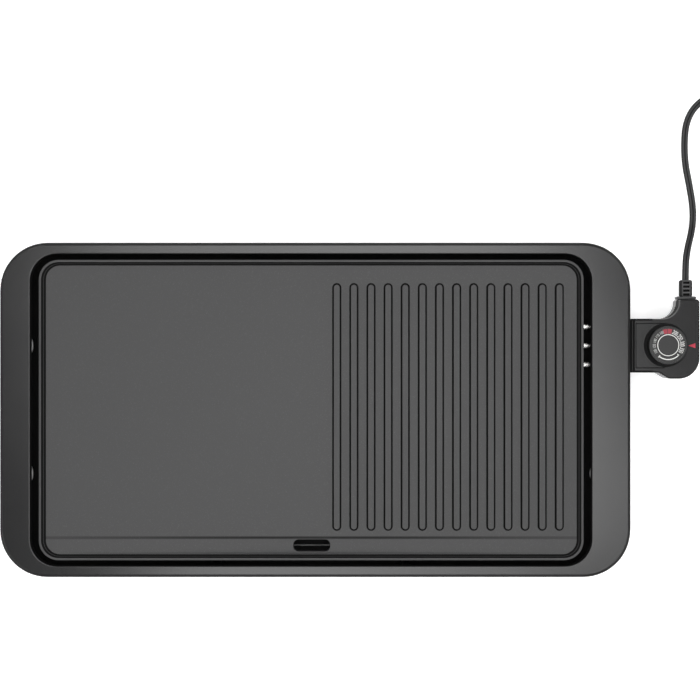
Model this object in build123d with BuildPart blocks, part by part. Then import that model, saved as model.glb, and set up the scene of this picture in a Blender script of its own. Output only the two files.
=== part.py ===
"""Electric griddle with a screwed-down non-stick plate, a slide-out drip tray and a plug-in
temperature control on a flat twin cord. Millimetres, +X right, +Y to the back, +Z up."""

import os
from math import pi, radians, tan

from build123d import *

os.makedirs("parts", exist_ok=True)

# ---------------------------------------------------------------- driving dimensions
# Base
BASE_LEFT, BASE_RIGHT = -368.0, 295.0
BASE_WIDTH = 351.8
BASE_CORNER = 50.0
BASE_WALL = 3.0
BASE_DRAFT = 1.2
SKIRT_Z, RIM_Z = 7.0, 60.0
OPENING_LENGTH, OPENING_WIDTH, OPENING_CORNER, OPENING_X = 590.0, 328.0, 28.0, -41.0
LIP_Z, LIP_WALL = 50.0, 2.5
PAN_THICKNESS = 2.5

# Plate
PLATE_LENGTH, PLATE_WIDTH, PLATE_CORNER, PLATE_X = 572.0, 315.6, 21.0, -40.7
PLATE_SKIRT_Z, PLATE_FLOOR_Z, COOKING_Z, PLATE_RIM_Z = 44.0, 52.0, 57.0, 62.0
PLATE_WALL = 2.5
COOKING_LENGTH, COOKING_WIDTH, COOKING_CORNER = 558.0, 303.6, 15.0
RIB_COUNT, RIB_PITCH, RIB_FIRST_X = 14, 18.0, -13.9
RIB_LENGTH, RIB_WIDTH, RIB_HEIGHT, RIB_Y, RIB_DRAFT = 259.2, 8.3, 2.5, 3.1, 26.0
TROUGH_FRONT_Y, TROUGH_BACK_Y, TROUGH_DEPTH = -151.2, -133.9, 3.8
DRAIN_X, DRAIN_Y, DRAIN_LENGTH, DRAIN_WIDTH, DRAIN_CORNER = -40.3, -143.05, 38.9, 12.7, 5.5
BOSS_POINTS = [(-275, 125), (-275, -122), (195, 125), (195, -122)]
BOSS_RADIUS, POST_RADIUS, BOSS_Z = 7.0, 9.0, 34.0
WASHER_THICKNESS = 4.0

# Element, pins and probe
TUBE_RADIUS, TUBE_Z = 3.3, 48.65
PIN_Z, PIN_RADIUS, PIN_TIP_X = 35.0, 2.4, 285.0
CONTROL_Y = 67.6
PIN_SPREAD = 20.3
REAR_PIN_Y, FRONT_PIN_Y = CONTROL_Y + PIN_SPREAD, CONTROL_Y - PIN_SPREAD
TUBE_END_X, COLLAR_RADIUS, COLLAR_END_X = 238.0, 3.4, 253.8
PROBE_RADIUS, PROBE_TIP_X, PROBE_END_X = 2.2, 187.0, 302.6
GUIDE_RADIUS, GUIDE_BORE, GUIDE_START_X, GUIDE_END_X = 3.2, 2.5, 222.0, 252.8

# Drip tray
TRAY_X, TRAY_WIDTH, TRAY_DEPTH = -40.7, 200.0, 104.0
TRAY_FRONT_Y, TRAY_Z, TRAY_TOP_Z, TRAY_WALL = -170.0, 13.0, 33.0, 1.5
TRAY_FACE_WIDTH, TRAY_FACE_THICKNESS, TRAY_FACE_Y = 212.0, 9.2, -174.2
TRAY_FACE_LOW_Z, TRAY_FACE_TOP_Z = 10.0, 37.0

# Temperature control
CONTROL_LEFT, CONTROL_RIGHT = 295.6, 369.4
CONTROL_FRONT, CONTROL_BACK = 32.6, 116.6
CONTROL_LOW_Z, CONTROL_SPLIT_Z, CONTROL_TOP_Z = 16.0, 33.0, 50.0
NECK_HALF_WIDTH = 28.5
HEAD_LEFT, INNER_CORNER = 347.5, 17.4
SHELL_WALL = 2.2
COLLAR_STEP, COLLAR_GROOVE_X, COLLAR_GROOVE, COLLAR_DEPTH = 1.6, 299.8, 1.8, 0.9
PANEL_X, PANEL_LENGTH, PANEL_WIDTH, PANEL_DEPTH = 317.0, 29.8, 47.0, 0.7
POINTER_TIP_X, POINTER_BASE_X, POINTER_HALF_WIDTH, POINTER_PROUD = 357.3, 364.7, 2.6, 0.5
NOSE_LEFT, NOSE_HALF_WIDTH, NOSE_LOW_Z, NOSE_TOP_Z = 262.0, 26.0, 21.0, 47.0
SHROUD_LEFT, SHROUD_CLEARANCE, SHROUD_WALL = 258.5, 0.8, 2.0
SLEEVE_RADIUS, SLEEVE_BORE = 3.8, 2.5

# Dial
DIAL_X, DIAL_Y = 333.5, 68.0
DIAL_LOW_Z, DIAL_TOP_Z = 49.6, 64.0
DIAL_RADIUS, DIAL_SKIRT_RADIUS, DIAL_FACE_RADIUS = 19.8, 22.4, 18.4
DIAL_WALL_RADIUS, DIAL_SHOULDER_RADIUS, DIAL_BORE, DIAL_FACE_DEPTH = 19.9, 20.6, 3.05, 1.2
FLUTE_COUNT, FLUTE_CIRCLE, FLUTE_RADIUS = 48, 20.9, 0.62

# Cord: flat twin flex, wide side level
CORD_WIDTH, CORD_THICKNESS = 7.3, 4.0
CORD_EXIT = (357.8, 137.6, 33.0)
CORD_REST_Z = CORD_THICKNESS / 2 + 0.05
COIL_X, COIL_Y, COIL_INNER, COIL_OUTER, COIL_HEIGHT = 437.0, 301.0, 37.0, 45.0, 13.0
PLUG_X, PLUG_Z = 478.5, 7.8


def save(builder, label):
    """Name a finished piece and write it."""
    builder.part.label = label
    export_step(builder.part, f"parts/{label}.step")


def tangent_radii(points, share=0.45):
    """Radius at each inner point of a route: a share of the shorter run, over tan(half the turn)."""
    route = [Vector(*point) for point in points]
    radii = []
    for before, here, after in zip(route, route[1:], route[2:]):
        arriving, leaving = here - before, after - here
        half_turn = radians(arriving.get_angle(leaving) / 2)
        radii.append(share * min(arriving.length, leaving.length) / tan(half_turn))
    return radii


# ---------------------------------------------------------------- base frame
base_x = (BASE_LEFT + BASE_RIGHT) / 2
base_length = BASE_RIGHT - BASE_LEFT
pan_top = SKIRT_Z + PAN_THICKNESS
deck_z = RIM_Z - BASE_WALL
frame_screws = [(-352, 100), (-352, -100), (-352, 0), (278, 138), (278, -112), (278, -20)]

with BuildPart() as base_frame:
    with BuildSketch(Plane.XY.offset(RIM_Z)):
        with Locations((base_x, 0)):
            RectangleRounded(base_length, BASE_WIDTH, BASE_CORNER)
    extrude(amount=SKIRT_Z - RIM_Z, taper=BASE_DRAFT)
    fillet(base_frame.faces().sort_by(Axis.Z)[-1].edges(), 3.2)
    with BuildSketch(Plane.XY.offset(deck_z)):
        with Locations((base_x, 0)):
            RectangleRounded(
                base_length - 2 * BASE_WALL, BASE_WIDTH - 2 * BASE_WALL, BASE_CORNER - BASE_WALL
            )
    extrude(amount=SKIRT_Z - deck_z, taper=BASE_DRAFT, mode=Mode.SUBTRACT)
    # lip that hangs from the deck round the opening
    with BuildSketch(Plane.XY.offset(LIP_Z)):
        with Locations((OPENING_X, 0)):
            RectangleRounded(
                OPENING_LENGTH + 2 * LIP_WALL, OPENING_WIDTH + 2 * LIP_WALL, OPENING_CORNER + LIP_WALL
            )
    extrude(amount=deck_z - LIP_Z)
    with BuildSketch(Plane.XY.offset(LIP_Z)):
        with Locations((OPENING_X, 0)):
            RectangleRounded(OPENING_LENGTH, OPENING_WIDTH, OPENING_CORNER)
    extrude(amount=RIM_Z - LIP_Z, mode=Mode.SUBTRACT)
    fillet(base_frame.faces().filter_by(Axis.Z).sort_by(Axis.Z)[-1].inner_wires()[0].edges(), 1.2)
    # screw towers that hang from the deck
    with BuildSketch(Plane.XY.offset(pan_top)):
        with Locations(*frame_screws):
            Circle(5)
    extrude(amount=deck_z - pan_top)
    with BuildSketch(Plane.XY.offset(pan_top)):
        with Locations(*frame_screws):
            Circle(2)
    extrude(amount=20, mode=Mode.SUBTRACT)
    # way out for the drip tray
    with BuildSketch(Plane.XZ.offset(BASE_WIDTH / 2 + 1)):
        with Locations((TRAY_X, (SKIRT_Z + TRAY_FACE_TOP_Z) / 2)):
            Rectangle(TRAY_FACE_WIDTH + 2, TRAY_FACE_TOP_Z + 1 - SKIRT_Z)
    extrude(amount=-12, mode=Mode.SUBTRACT)
    # way in for the control's nose
    with BuildSketch(Plane.YZ.offset(BASE_RIGHT + 1)):
        with Locations((CONTROL_Y, (NOSE_LOW_Z + NOSE_TOP_Z) / 2)):
            Rectangle(
                2 * (NOSE_HALF_WIDTH + SHROUD_CLEARANCE), NOSE_TOP_Z - NOSE_LOW_Z + 2 * SHROUD_CLEARANCE
            )
    extrude(amount=-8, mode=Mode.SUBTRACT)
    # cooling slots through the back wall
    with BuildSketch(Plane.XZ.offset(-BASE_WIDTH / 2 - 1)):
        with Locations((base_x - 130, 30), (base_x + 130, 30)):
            with GridLocations(9, 1, 14, 1):
                SlotOverall(20, 3.6, rotation=90)
    extrude(amount=10, mode=Mode.SUBTRACT)
save(base_frame, "base_frame")

# ---------------------------------------------------------------- base pan and feet
foot_points = {
    "front_left": (-310, -132),
    "front_right": (231, -132),
    "rear_left": (-310, 132),
    "rear_right": (231, 132),
}
pan_length = base_length - 2 * BASE_WALL - 3.4
pan_width = BASE_WIDTH - 2 * BASE_WALL - 3.4
post_top = BOSS_Z - WASHER_THICKNESS

with BuildPart() as base_pan:
    with BuildSketch(Plane.XY.offset(SKIRT_Z)):
        with Locations((base_x, 0)):
            RectangleRounded(pan_length, pan_width, BASE_CORNER - BASE_WALL - 1.7)
        with Locations(*frame_screws):
            Circle(2.3, mode=Mode.SUBTRACT)
        with Locations(*foot_points.values()):
            Circle(5.1, mode=Mode.SUBTRACT)
        with Locations((base_x - 160, 60), (base_x + 160, 60)):
            with GridLocations(12, 1, 12, 1):
                SlotOverall(60, 5, rotation=90, mode=Mode.SUBTRACT)
    extrude(amount=PAN_THICKNESS)
    with BuildSketch(Plane.XY.offset(pan_top)):
        with Locations(*BOSS_POINTS):
            Circle(POST_RADIUS)
    extrude(amount=post_top - pan_top)
    with BuildSketch(Plane.XY.offset(SKIRT_Z)):
        with Locations(*BOSS_POINTS):
            Circle(2.7)
    extrude(amount=post_top - SKIRT_Z, mode=Mode.SUBTRACT)
    with BuildSketch(Plane.XY.offset(SKIRT_Z)):
        with Locations(*BOSS_POINTS):
            Circle(5)
    extrude(amount=6, mode=Mode.SUBTRACT)
save(base_pan, "base_pan")

for place, (foot_x, foot_y) in foot_points.items():
    with BuildPart() as foot:
        with BuildSketch(Plane.XZ.offset(-foot_y)):
            with BuildLine():
                Polyline(
                    (foot_x, 0), (foot_x + 9.5, 0), (foot_x + 11, 1.2), (foot_x + 11.6, SKIRT_Z),
                    (foot_x + 5, SKIRT_Z), (foot_x + 5, pan_top), (foot_x + 8, pan_top),
                    (foot_x + 6, pan_top + 4), (foot_x, pan_top + 4), close=True,
                )
            make_face()
        revolve(axis=Axis((foot_x, foot_y, 0), (0, 0, 1)))
    save(foot, f"foot_{place}")

with BuildPart() as base_screws:
    with BuildSketch(Plane.XY.offset(SKIRT_Z - 2)):
        with Locations(*frame_screws):
            Circle(3.8)
            RegularPolygon(1.6, 6, mode=Mode.SUBTRACT)
    extrude(amount=2)
    with BuildSketch(Plane.XY.offset(SKIRT_Z - 0.6)):
        with Locations(*frame_screws):
            Circle(1.9)
    extrude(amount=18)
save(base_screws, "base_screws")

# ---------------------------------------------------------------- grey bumpers beside the plate
bumper_radius, bumper_low_z, bumper_thickness, bumper_stem_radius = 17.0, 45.5, 4.0, 4.0
left_bumpers, right_bumper, bumper_clip_x = [(-352, 67.6), (-352, -67.6)], (270.6, -67.6), 362.5
with BuildPart() as plate_bumpers:
    with BuildSketch(Plane.XY.offset(bumper_low_z)):
        with Locations(*left_bumpers):
            Circle(bumper_radius)
        with Locations((-bumper_clip_x - 20, 0)):
            Rectangle(40, 200, mode=Mode.SUBTRACT)
        with Locations(right_bumper):
            Circle(bumper_radius)
    extrude(amount=bumper_thickness)
    with BuildSketch(Plane.XY.offset(bumper_low_z + bumper_thickness)):
        with Locations(*left_bumpers, right_bumper):
            Circle(bumper_stem_radius)
    extrude(amount=deck_z - bumper_low_z - bumper_thickness)
save(plate_bumpers, "plate_bumpers")

# ---------------------------------------------------------------- griddle plate
probe_lug_end = 241.0
with BuildPart() as griddle_plate:
    with BuildSketch(Plane.XY.offset(PLATE_SKIRT_Z)):
        with Locations((PLATE_X, 0)):
            RectangleRounded(PLATE_LENGTH, PLATE_WIDTH, PLATE_CORNER)
    extrude(amount=PLATE_RIM_Z - PLATE_SKIRT_Z)
    fillet(griddle_plate.faces().sort_by(Axis.Z)[-1].edges(), 0.8)
    # basin inside the rim
    with BuildSketch(Plane.XY.offset(COOKING_Z)):
        with Locations((PLATE_X, 0)):
            RectangleRounded(COOKING_LENGTH, COOKING_WIDTH, COOKING_CORNER)
    with BuildSketch(Plane.XY.offset(PLATE_RIM_Z)):
        with Locations((PLATE_X, 0)):
            RectangleRounded(
                PLATE_LENGTH - 2 * PLATE_WALL, PLATE_WIDTH - 2 * PLATE_WALL, PLATE_CORNER - PLATE_WALL
            )
    loft(mode=Mode.SUBTRACT)
    # hollow below the cooking surface
    with BuildSketch(Plane.XY.offset(PLATE_SKIRT_Z)):
        with Locations((PLATE_X, 0)):
            RectangleRounded(
                PLATE_LENGTH - 2 * PLATE_WALL, PLATE_WIDTH - 2 * PLATE_WALL, PLATE_CORNER - PLATE_WALL
            )
    extrude(amount=PLATE_FLOOR_Z - PLATE_SKIRT_Z, mode=Mode.SUBTRACT)
    # thicker metal and a spout under the drain
    with BuildSketch(Plane.XY.offset(49)):
        with Locations((DRAIN_X, (TROUGH_FRONT_Y + TROUGH_BACK_Y) / 2)):
            Rectangle(240, 22)
    extrude(amount=PLATE_FLOOR_Z - 49)
    with BuildSketch(Plane.XY.offset(42)):
        with Locations((DRAIN_X, DRAIN_Y)):
            RectangleRounded(DRAIN_LENGTH + 4.6, DRAIN_WIDTH + 4.6, DRAIN_CORNER + 2.3)
    extrude(amount=PLATE_FLOOR_Z - 42)
    # trough that deepens towards the drain
    with BuildSketch(Plane.XZ.offset(-TROUGH_BACK_Y)):
        with BuildLine():
            Polyline(
                (PLATE_X - 274, COOKING_Z), (DRAIN_X - 20, COOKING_Z - TROUGH_DEPTH),
                (DRAIN_X + 20, COOKING_Z - TROUGH_DEPTH), (PLATE_X + 274, COOKING_Z), close=True,
            )
        make_face()
    extrude(amount=TROUGH_BACK_Y - TROUGH_FRONT_Y, mode=Mode.SUBTRACT)
    with BuildSketch(Plane.XY.offset(42)):
        with Locations((DRAIN_X, DRAIN_Y)):
            RectangleRounded(DRAIN_LENGTH, DRAIN_WIDTH, DRAIN_CORNER)
    extrude(amount=COOKING_Z - 42, mode=Mode.SUBTRACT)
    # raised ribs on the right half
    with BuildSketch(Plane.XY.offset(COOKING_Z)):
        with Locations((RIB_FIRST_X + RIB_PITCH * (RIB_COUNT - 1) / 2, RIB_Y)):
            with GridLocations(RIB_PITCH, 1, RIB_COUNT, 1):
                SlotOverall(RIB_LENGTH, RIB_WIDTH, rotation=90)
    extrude(amount=RIB_HEIGHT, taper=RIB_DRAFT)
    # bosses for the screws that hold the plate down
    with BuildSketch(Plane.XY.offset(BOSS_Z)):
        with Locations(*BOSS_POINTS):
            Circle(BOSS_RADIUS)
    extrude(amount=PLATE_FLOOR_Z - BOSS_Z)
    with BuildSketch(Plane.XY.offset(BOSS_Z)):
        with Locations(*BOSS_POINTS):
            Circle(2.1)
    extrude(amount=14, mode=Mode.SUBTRACT)
    # lug with the bore for the thermostat probe
    with BuildSketch(Plane.XY.offset(PIN_Z - 7)):
        with Locations(((PROBE_TIP_X - 8 + probe_lug_end) / 2, CONTROL_Y)):
            Rectangle(probe_lug_end - PROBE_TIP_X + 8, 14)
    extrude(amount=PLATE_FLOOR_Z - PIN_Z + 7)
    with BuildSketch(Plane.YZ.offset(probe_lug_end)):
        with Locations((CONTROL_Y, PIN_Z)):
            Circle(GUIDE_BORE)
    extrude(amount=PROBE_TIP_X - 2 - probe_lug_end, mode=Mode.SUBTRACT)
    with BuildSketch(Plane.YZ.offset(probe_lug_end)):
        with Locations((CONTROL_Y, PIN_Z)):
            Circle(GUIDE_RADIUS)
    extrude(amount=GUIDE_START_X - probe_lug_end, mode=Mode.SUBTRACT)
save(griddle_plate, "griddle_plate")

with BuildPart() as insulating_washers:
    with BuildSketch(Plane.XY.offset(post_top)):
        with Locations(*BOSS_POINTS):
            Circle(BOSS_RADIUS + 1)
            Circle(2.7, mode=Mode.SUBTRACT)
    extrude(amount=WASHER_THICKNESS)
save(insulating_washers, "insulating_washers")

with BuildPart() as plate_screws:
    with BuildSketch(Plane.XY.offset(SKIRT_Z + 2.5)):
        with Locations(*BOSS_POINTS):
            Circle(4.5)
            RegularPolygon(2, 6, mode=Mode.SUBTRACT)
    extrude(amount=3.5)
    with BuildSketch(Plane.XY.offset(SKIRT_Z + 5)):
        with Locations(*BOSS_POINTS):
            Circle(2)
    extrude(amount=34)
save(plate_screws, "plate_screws")

# ---------------------------------------------------------------- heating element and pins
element_route = [
    (TUBE_END_X, REAR_PIN_Y, PIN_Z), (214, REAR_PIN_Y, PIN_Z), (184, REAR_PIN_Y, TUBE_Z),
    (-290, REAR_PIN_Y, TUBE_Z), (-290, -96, TUBE_Z), (215, -96, TUBE_Z), (215, -28, TUBE_Z),
    (-215, -28, TUBE_Z), (-215, FRONT_PIN_Y, TUBE_Z), (184, FRONT_PIN_Y, TUBE_Z),
    (214, FRONT_PIN_Y, PIN_Z), (TUBE_END_X, FRONT_PIN_Y, PIN_Z),
]
element_bends = [20, 20, 55, 55, 30, 30, 32, 32, 20, 20]

with BuildPart() as heating_element:
    with BuildLine():
        element_line = FilletPolyline(*element_route, radius=element_bends)
    with BuildSketch(Plane(origin=element_line @ 0, z_dir=element_line % 0)):
        Circle(TUBE_RADIUS)
    sweep()
save(heating_element, "heating_element")

for place, pin_y in (("rear", REAR_PIN_Y), ("front", FRONT_PIN_Y)):
    with BuildPart() as pin:
        with BuildSketch(Plane.YZ.offset(TUBE_END_X)):
            with Locations((pin_y, PIN_Z)):
                Circle(PIN_RADIUS)
        extrude(amount=PIN_TIP_X - TUBE_END_X)
        fillet(pin.faces().sort_by(Axis.X)[-1].edges(), 2)
        with BuildSketch(Plane.YZ.offset(TUBE_END_X)):
            with Locations((pin_y, PIN_Z)):
                Circle(COLLAR_RADIUS)
        extrude(amount=COLLAR_END_X - TUBE_END_X)
    save(pin, f"{place}_pin")

with BuildPart() as pin_insulators:
    for pin_y in (REAR_PIN_Y, FRONT_PIN_Y):
        with BuildSketch(Plane.YZ.offset(TUBE_END_X + 4)):
            with Locations((pin_y, PIN_Z)):
                Circle(5.2)
                Circle(COLLAR_RADIUS + 0.05, mode=Mode.SUBTRACT)
        extrude(amount=-14)
save(pin_insulators, "pin_insulators")

with BuildPart() as probe_guide:
    with BuildSketch(Plane.YZ.offset(GUIDE_START_X)):
        with Locations((CONTROL_Y, PIN_Z)):
            Circle(GUIDE_RADIUS)
            Circle(GUIDE_BORE, mode=Mode.SUBTRACT)
    extrude(amount=GUIDE_END_X - GUIDE_START_X)
save(probe_guide, "probe_guide")

# ---------------------------------------------------------------- heat shield
shield_left, shield_right, shield_half_width, shield_z = -258.0, 160.0, 100.0, 38.5
with BuildPart() as heat_shield:
    with BuildSketch(Plane.XZ.offset(-shield_half_width)):
        with BuildLine():
            Polyline(
                (shield_left - 18, pan_top), (shield_left, pan_top), (shield_left, shield_z),
                (shield_right, shield_z), (shield_right, pan_top), (shield_right + 18, pan_top),
            )
            offset(amount=1, side=Side.LEFT)
        make_face()
    extrude(amount=2 * shield_half_width)
save(heat_shield, "heat_shield")

# ---------------------------------------------------------------- socket shroud in the right-hand wall
nose_mid_z = (NOSE_LOW_Z + NOSE_TOP_Z) / 2
nose_height = NOSE_TOP_Z - NOSE_LOW_Z
shroud_inner_width = 2 * (NOSE_HALF_WIDTH + SHROUD_CLEARANCE)
shroud_inner_height = nose_height + 2 * SHROUD_CLEARANCE
shroud_right = BASE_RIGHT - BASE_WALL - 1.2

with BuildPart() as socket_shroud:
    with BuildSketch(Plane.YZ.offset(SHROUD_LEFT)):
        with Locations((CONTROL_Y, nose_mid_z)):
            RectangleRounded(shroud_inner_width + 2 * SHROUD_WALL, shroud_inner_height + 2 * SHROUD_WALL, 4)
            RectangleRounded(shroud_inner_width, shroud_inner_height, 2, mode=Mode.SUBTRACT)
    extrude(amount=shroud_right - SHROUD_LEFT)
    # feet that stand on the pan
    with BuildSketch(Plane.XY.offset(pan_top)):
        with Locations((275, CONTROL_Y)):
            with GridLocations(1, 36, 1, 2):
                Rectangle(24, 3)
    extrude(amount=nose_mid_z - shroud_inner_height / 2 - SHROUD_WALL - pan_top)
save(socket_shroud, "socket_shroud")

# ---------------------------------------------------------------- drip tray and its rails
tray_mid_y = TRAY_FRONT_Y + TRAY_DEPTH / 2
with BuildPart() as drip_tray:
    with BuildSketch(Plane.XY.offset(TRAY_Z)):
        with Locations((TRAY_X, tray_mid_y)):
            RectangleRounded(TRAY_WIDTH - 4, TRAY_DEPTH, 8)
    extrude(amount=TRAY_TOP_Z - TRAY_Z)
    with BuildSketch(Plane.XY.offset(TRAY_Z + TRAY_WALL)):
        with Locations((TRAY_X, tray_mid_y)):
            RectangleRounded(TRAY_WIDTH - 4 - 2 * TRAY_WALL, TRAY_DEPTH - 2 * TRAY_WALL, 6.5)
    extrude(amount=TRAY_TOP_Z - TRAY_Z, mode=Mode.SUBTRACT)
    # side flanges that run in the rails
    with BuildSketch(Plane.XY.offset(TRAY_TOP_Z - TRAY_WALL)):
        with Locations((TRAY_X, tray_mid_y)):
            with GridLocations(TRAY_WIDTH + 1, 1, 2, 1):
                Rectangle(5, TRAY_DEPTH - 20)
    extrude(amount=TRAY_WALL)
save(drip_tray, "drip_tray")

with BuildPart() as tray_front:
    with BuildSketch(Plane.XZ.offset(-TRAY_FACE_Y)):
        with Locations((TRAY_X, (TRAY_FACE_LOW_Z + TRAY_FACE_TOP_Z) / 2)):
            RectangleRounded(TRAY_FACE_WIDTH, TRAY_FACE_TOP_Z - TRAY_FACE_LOW_Z, 1.5)
    extrude(amount=-TRAY_FACE_THICKNESS)
    # scooped finger pull under a lip
    with BuildSketch(Plane.XZ.offset(-TRAY_FACE_Y)):
        with Locations((TRAY_X, 21)):
            SlotOverall(110, 15)
    extrude(amount=-3.6, mode=Mode.SUBTRACT)
    # recess that holds the tray's front wall
    with BuildSketch(Plane.XY.offset(TRAY_Z)):
        with Locations((TRAY_X, tray_mid_y)):
            RectangleRounded(TRAY_WIDTH - 4, TRAY_DEPTH, 8)
    extrude(amount=TRAY_TOP_Z - TRAY_Z, mode=Mode.SUBTRACT)
save(tray_front, "tray_front")

for side, sign in (("left", -1), ("right", 1)):
    rail_x = TRAY_X + sign * (TRAY_WIDTH / 2 + 4)
    with BuildPart() as rail:
        with BuildSketch(Plane.XY.offset(pan_top)):
            with Locations((rail_x, tray_mid_y + 8)):
                Rectangle(5, TRAY_DEPTH - 16)
        extrude(amount=TRAY_TOP_Z + 4 - pan_top)
        with BuildSketch(Plane.XY.offset(TRAY_TOP_Z - TRAY_WALL - 0.5)):
            with Locations((rail_x - sign * 2.5, tray_mid_y)):
                Rectangle(5, TRAY_DEPTH + 20)
        extrude(amount=TRAY_WALL + 1, mode=Mode.SUBTRACT)
    save(rail, f"tray_rail_{side}")

# ---------------------------------------------------------------- temperature control: shells
control_outline_points = [
    (CONTROL_LEFT, CONTROL_Y - NECK_HALF_WIDTH), (327, CONTROL_Y - NECK_HALF_WIDTH), (337, CONTROL_FRONT),
    (CONTROL_RIGHT, CONTROL_FRONT), (CONTROL_RIGHT, CONTROL_BACK), (HEAD_LEFT, CONTROL_BACK),
    (HEAD_LEFT, CONTROL_Y + NECK_HALF_WIDTH), (CONTROL_LEFT, CONTROL_Y + NECK_HALF_WIDTH),
]
control_outline_radii = [2, 9, 9, 22, 3.5, 2.5, INNER_CORNER, 2]

with BuildSketch() as control_outline:
    with BuildLine():
        FilletPolyline(*control_outline_points, radius=control_outline_radii, close=True)
    make_face()

with BuildSketch() as control_cavity:
    add(control_outline.sketch)
    offset(amount=-SHELL_WALL, kind=Kind.ARC)

with BuildSketch() as pointer_outline:
    with BuildLine():
        Polyline(
            (POINTER_TIP_X, CONTROL_Y), (POINTER_BASE_X, CONTROL_Y - POINTER_HALF_WIDTH),
            (POINTER_BASE_X, CONTROL_Y + POINTER_HALF_WIDTH), close=True,
        )
    make_face()

screw_points = [(301.8, CONTROL_Y - 23), (301.8, CONTROL_Y + 23), (358.4, 44.8), (362.6, 97)]
boss_radius = 3.0
cord_hole = (8.2, 6.2)
inner_corner_centre = (HEAD_LEFT - INNER_CORNER, CONTROL_Y + NECK_HALF_WIDTH + INNER_CORNER)
grip_rib_radius, grip_rib_count = 0.7, 8
front_grip_ribs = [(328.5 + 2.2 * step, 38.3 - 1.3 * step) for step in range(4)]

with BuildPart() as control_top_shell:
    with BuildSketch(Plane.XY.offset(CONTROL_SPLIT_Z)):
        add(control_outline.sketch)
    extrude(amount=CONTROL_TOP_Z - CONTROL_SPLIT_Z)
    fillet(control_top_shell.faces().sort_by(Axis.Z)[-1].edges(), 1.6)
    with BuildSketch(Plane.XY.offset(CONTROL_SPLIT_Z)):
        add(control_cavity.sketch)
    extrude(amount=CONTROL_TOP_Z - CONTROL_SPLIT_Z - SHELL_WALL, mode=Mode.SUBTRACT)
    with BuildSketch(Plane.XY.offset(CONTROL_SPLIT_Z)):
        with Locations(*screw_points):
            Circle(boss_radius)
    extrude(amount=CONTROL_TOP_Z - CONTROL_SPLIT_Z - SHELL_WALL)
    with BuildSketch(Plane.XY.offset(CONTROL_SPLIT_Z)):
        with Locations(*screw_points):
            Circle(1.3)
    extrude(amount=11, mode=Mode.SUBTRACT)
    # sunk panel on top of the neck
    with BuildSketch(Plane.XY.offset(CONTROL_TOP_Z)):
        with Locations((PANEL_X, CONTROL_Y)):
            RectangleRounded(PANEL_LENGTH, PANEL_WIDTH, 2)
        with Locations((DIAL_X, DIAL_Y)):
            Circle(DIAL_SKIRT_RADIUS + 0.9)
    extrude(amount=-PANEL_DEPTH, mode=Mode.SUBTRACT)
    # step and groove of the collar beside the base
    with BuildSketch(Plane.XY.offset(CONTROL_TOP_Z)):
        with Locations((CONTROL_LEFT, CONTROL_Y)):
            Rectangle(2 * COLLAR_STEP, 2 * NECK_HALF_WIDTH + 2)
        with Locations((COLLAR_GROOVE_X, CONTROL_Y)):
            Rectangle(COLLAR_GROOVE, 2 * NECK_HALF_WIDTH + 2)
    extrude(amount=-COLLAR_DEPTH, mode=Mode.SUBTRACT)
    # finger grip ribs in the inner corner and on the front bend
    with BuildSketch(Plane.XY.offset(CONTROL_SPLIT_Z)):
        with Locations(inner_corner_centre):
            with PolarLocations(INNER_CORNER + 0.2, grip_rib_count, start_angle=-75, angular_range=66):
                Circle(grip_rib_radius)
        with Locations(*front_grip_ribs):
            Circle(grip_rib_radius)
    extrude(amount=CONTROL_TOP_Z - 3 - CONTROL_SPLIT_Z)
    # hole for the dial's shaft, and a seat for the red pointer
    with BuildSketch(Plane.XY.offset(CONTROL_TOP_Z)):
        with Locations((DIAL_X, DIAL_Y)):
            Circle(3.35)
    extrude(amount=-4, mode=Mode.SUBTRACT)
    with BuildSketch(Plane.XY.offset(CONTROL_TOP_Z)):
        add(pointer_outline.sketch)
    extrude(amount=-4, mode=Mode.SUBTRACT)
    # nose opening and cord opening
    with BuildSketch(Plane.YZ.offset(CONTROL_LEFT)):
        with Locations((CONTROL_Y, nose_mid_z)):
            Rectangle(2 * NOSE_HALF_WIDTH - 5, nose_height - 5)
    extrude(amount=SHELL_WALL + 1, mode=Mode.SUBTRACT)
    with BuildSketch(Plane.XZ.offset(-CONTROL_BACK)):
        with Locations((CORD_EXIT[0], CORD_EXIT[2])):
            Rectangle(cord_hole[0] + 0.2, cord_hole[1] + 0.2)
    extrude(amount=4, mode=Mode.SUBTRACT)
save(control_top_shell, "control_top_shell")

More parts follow.
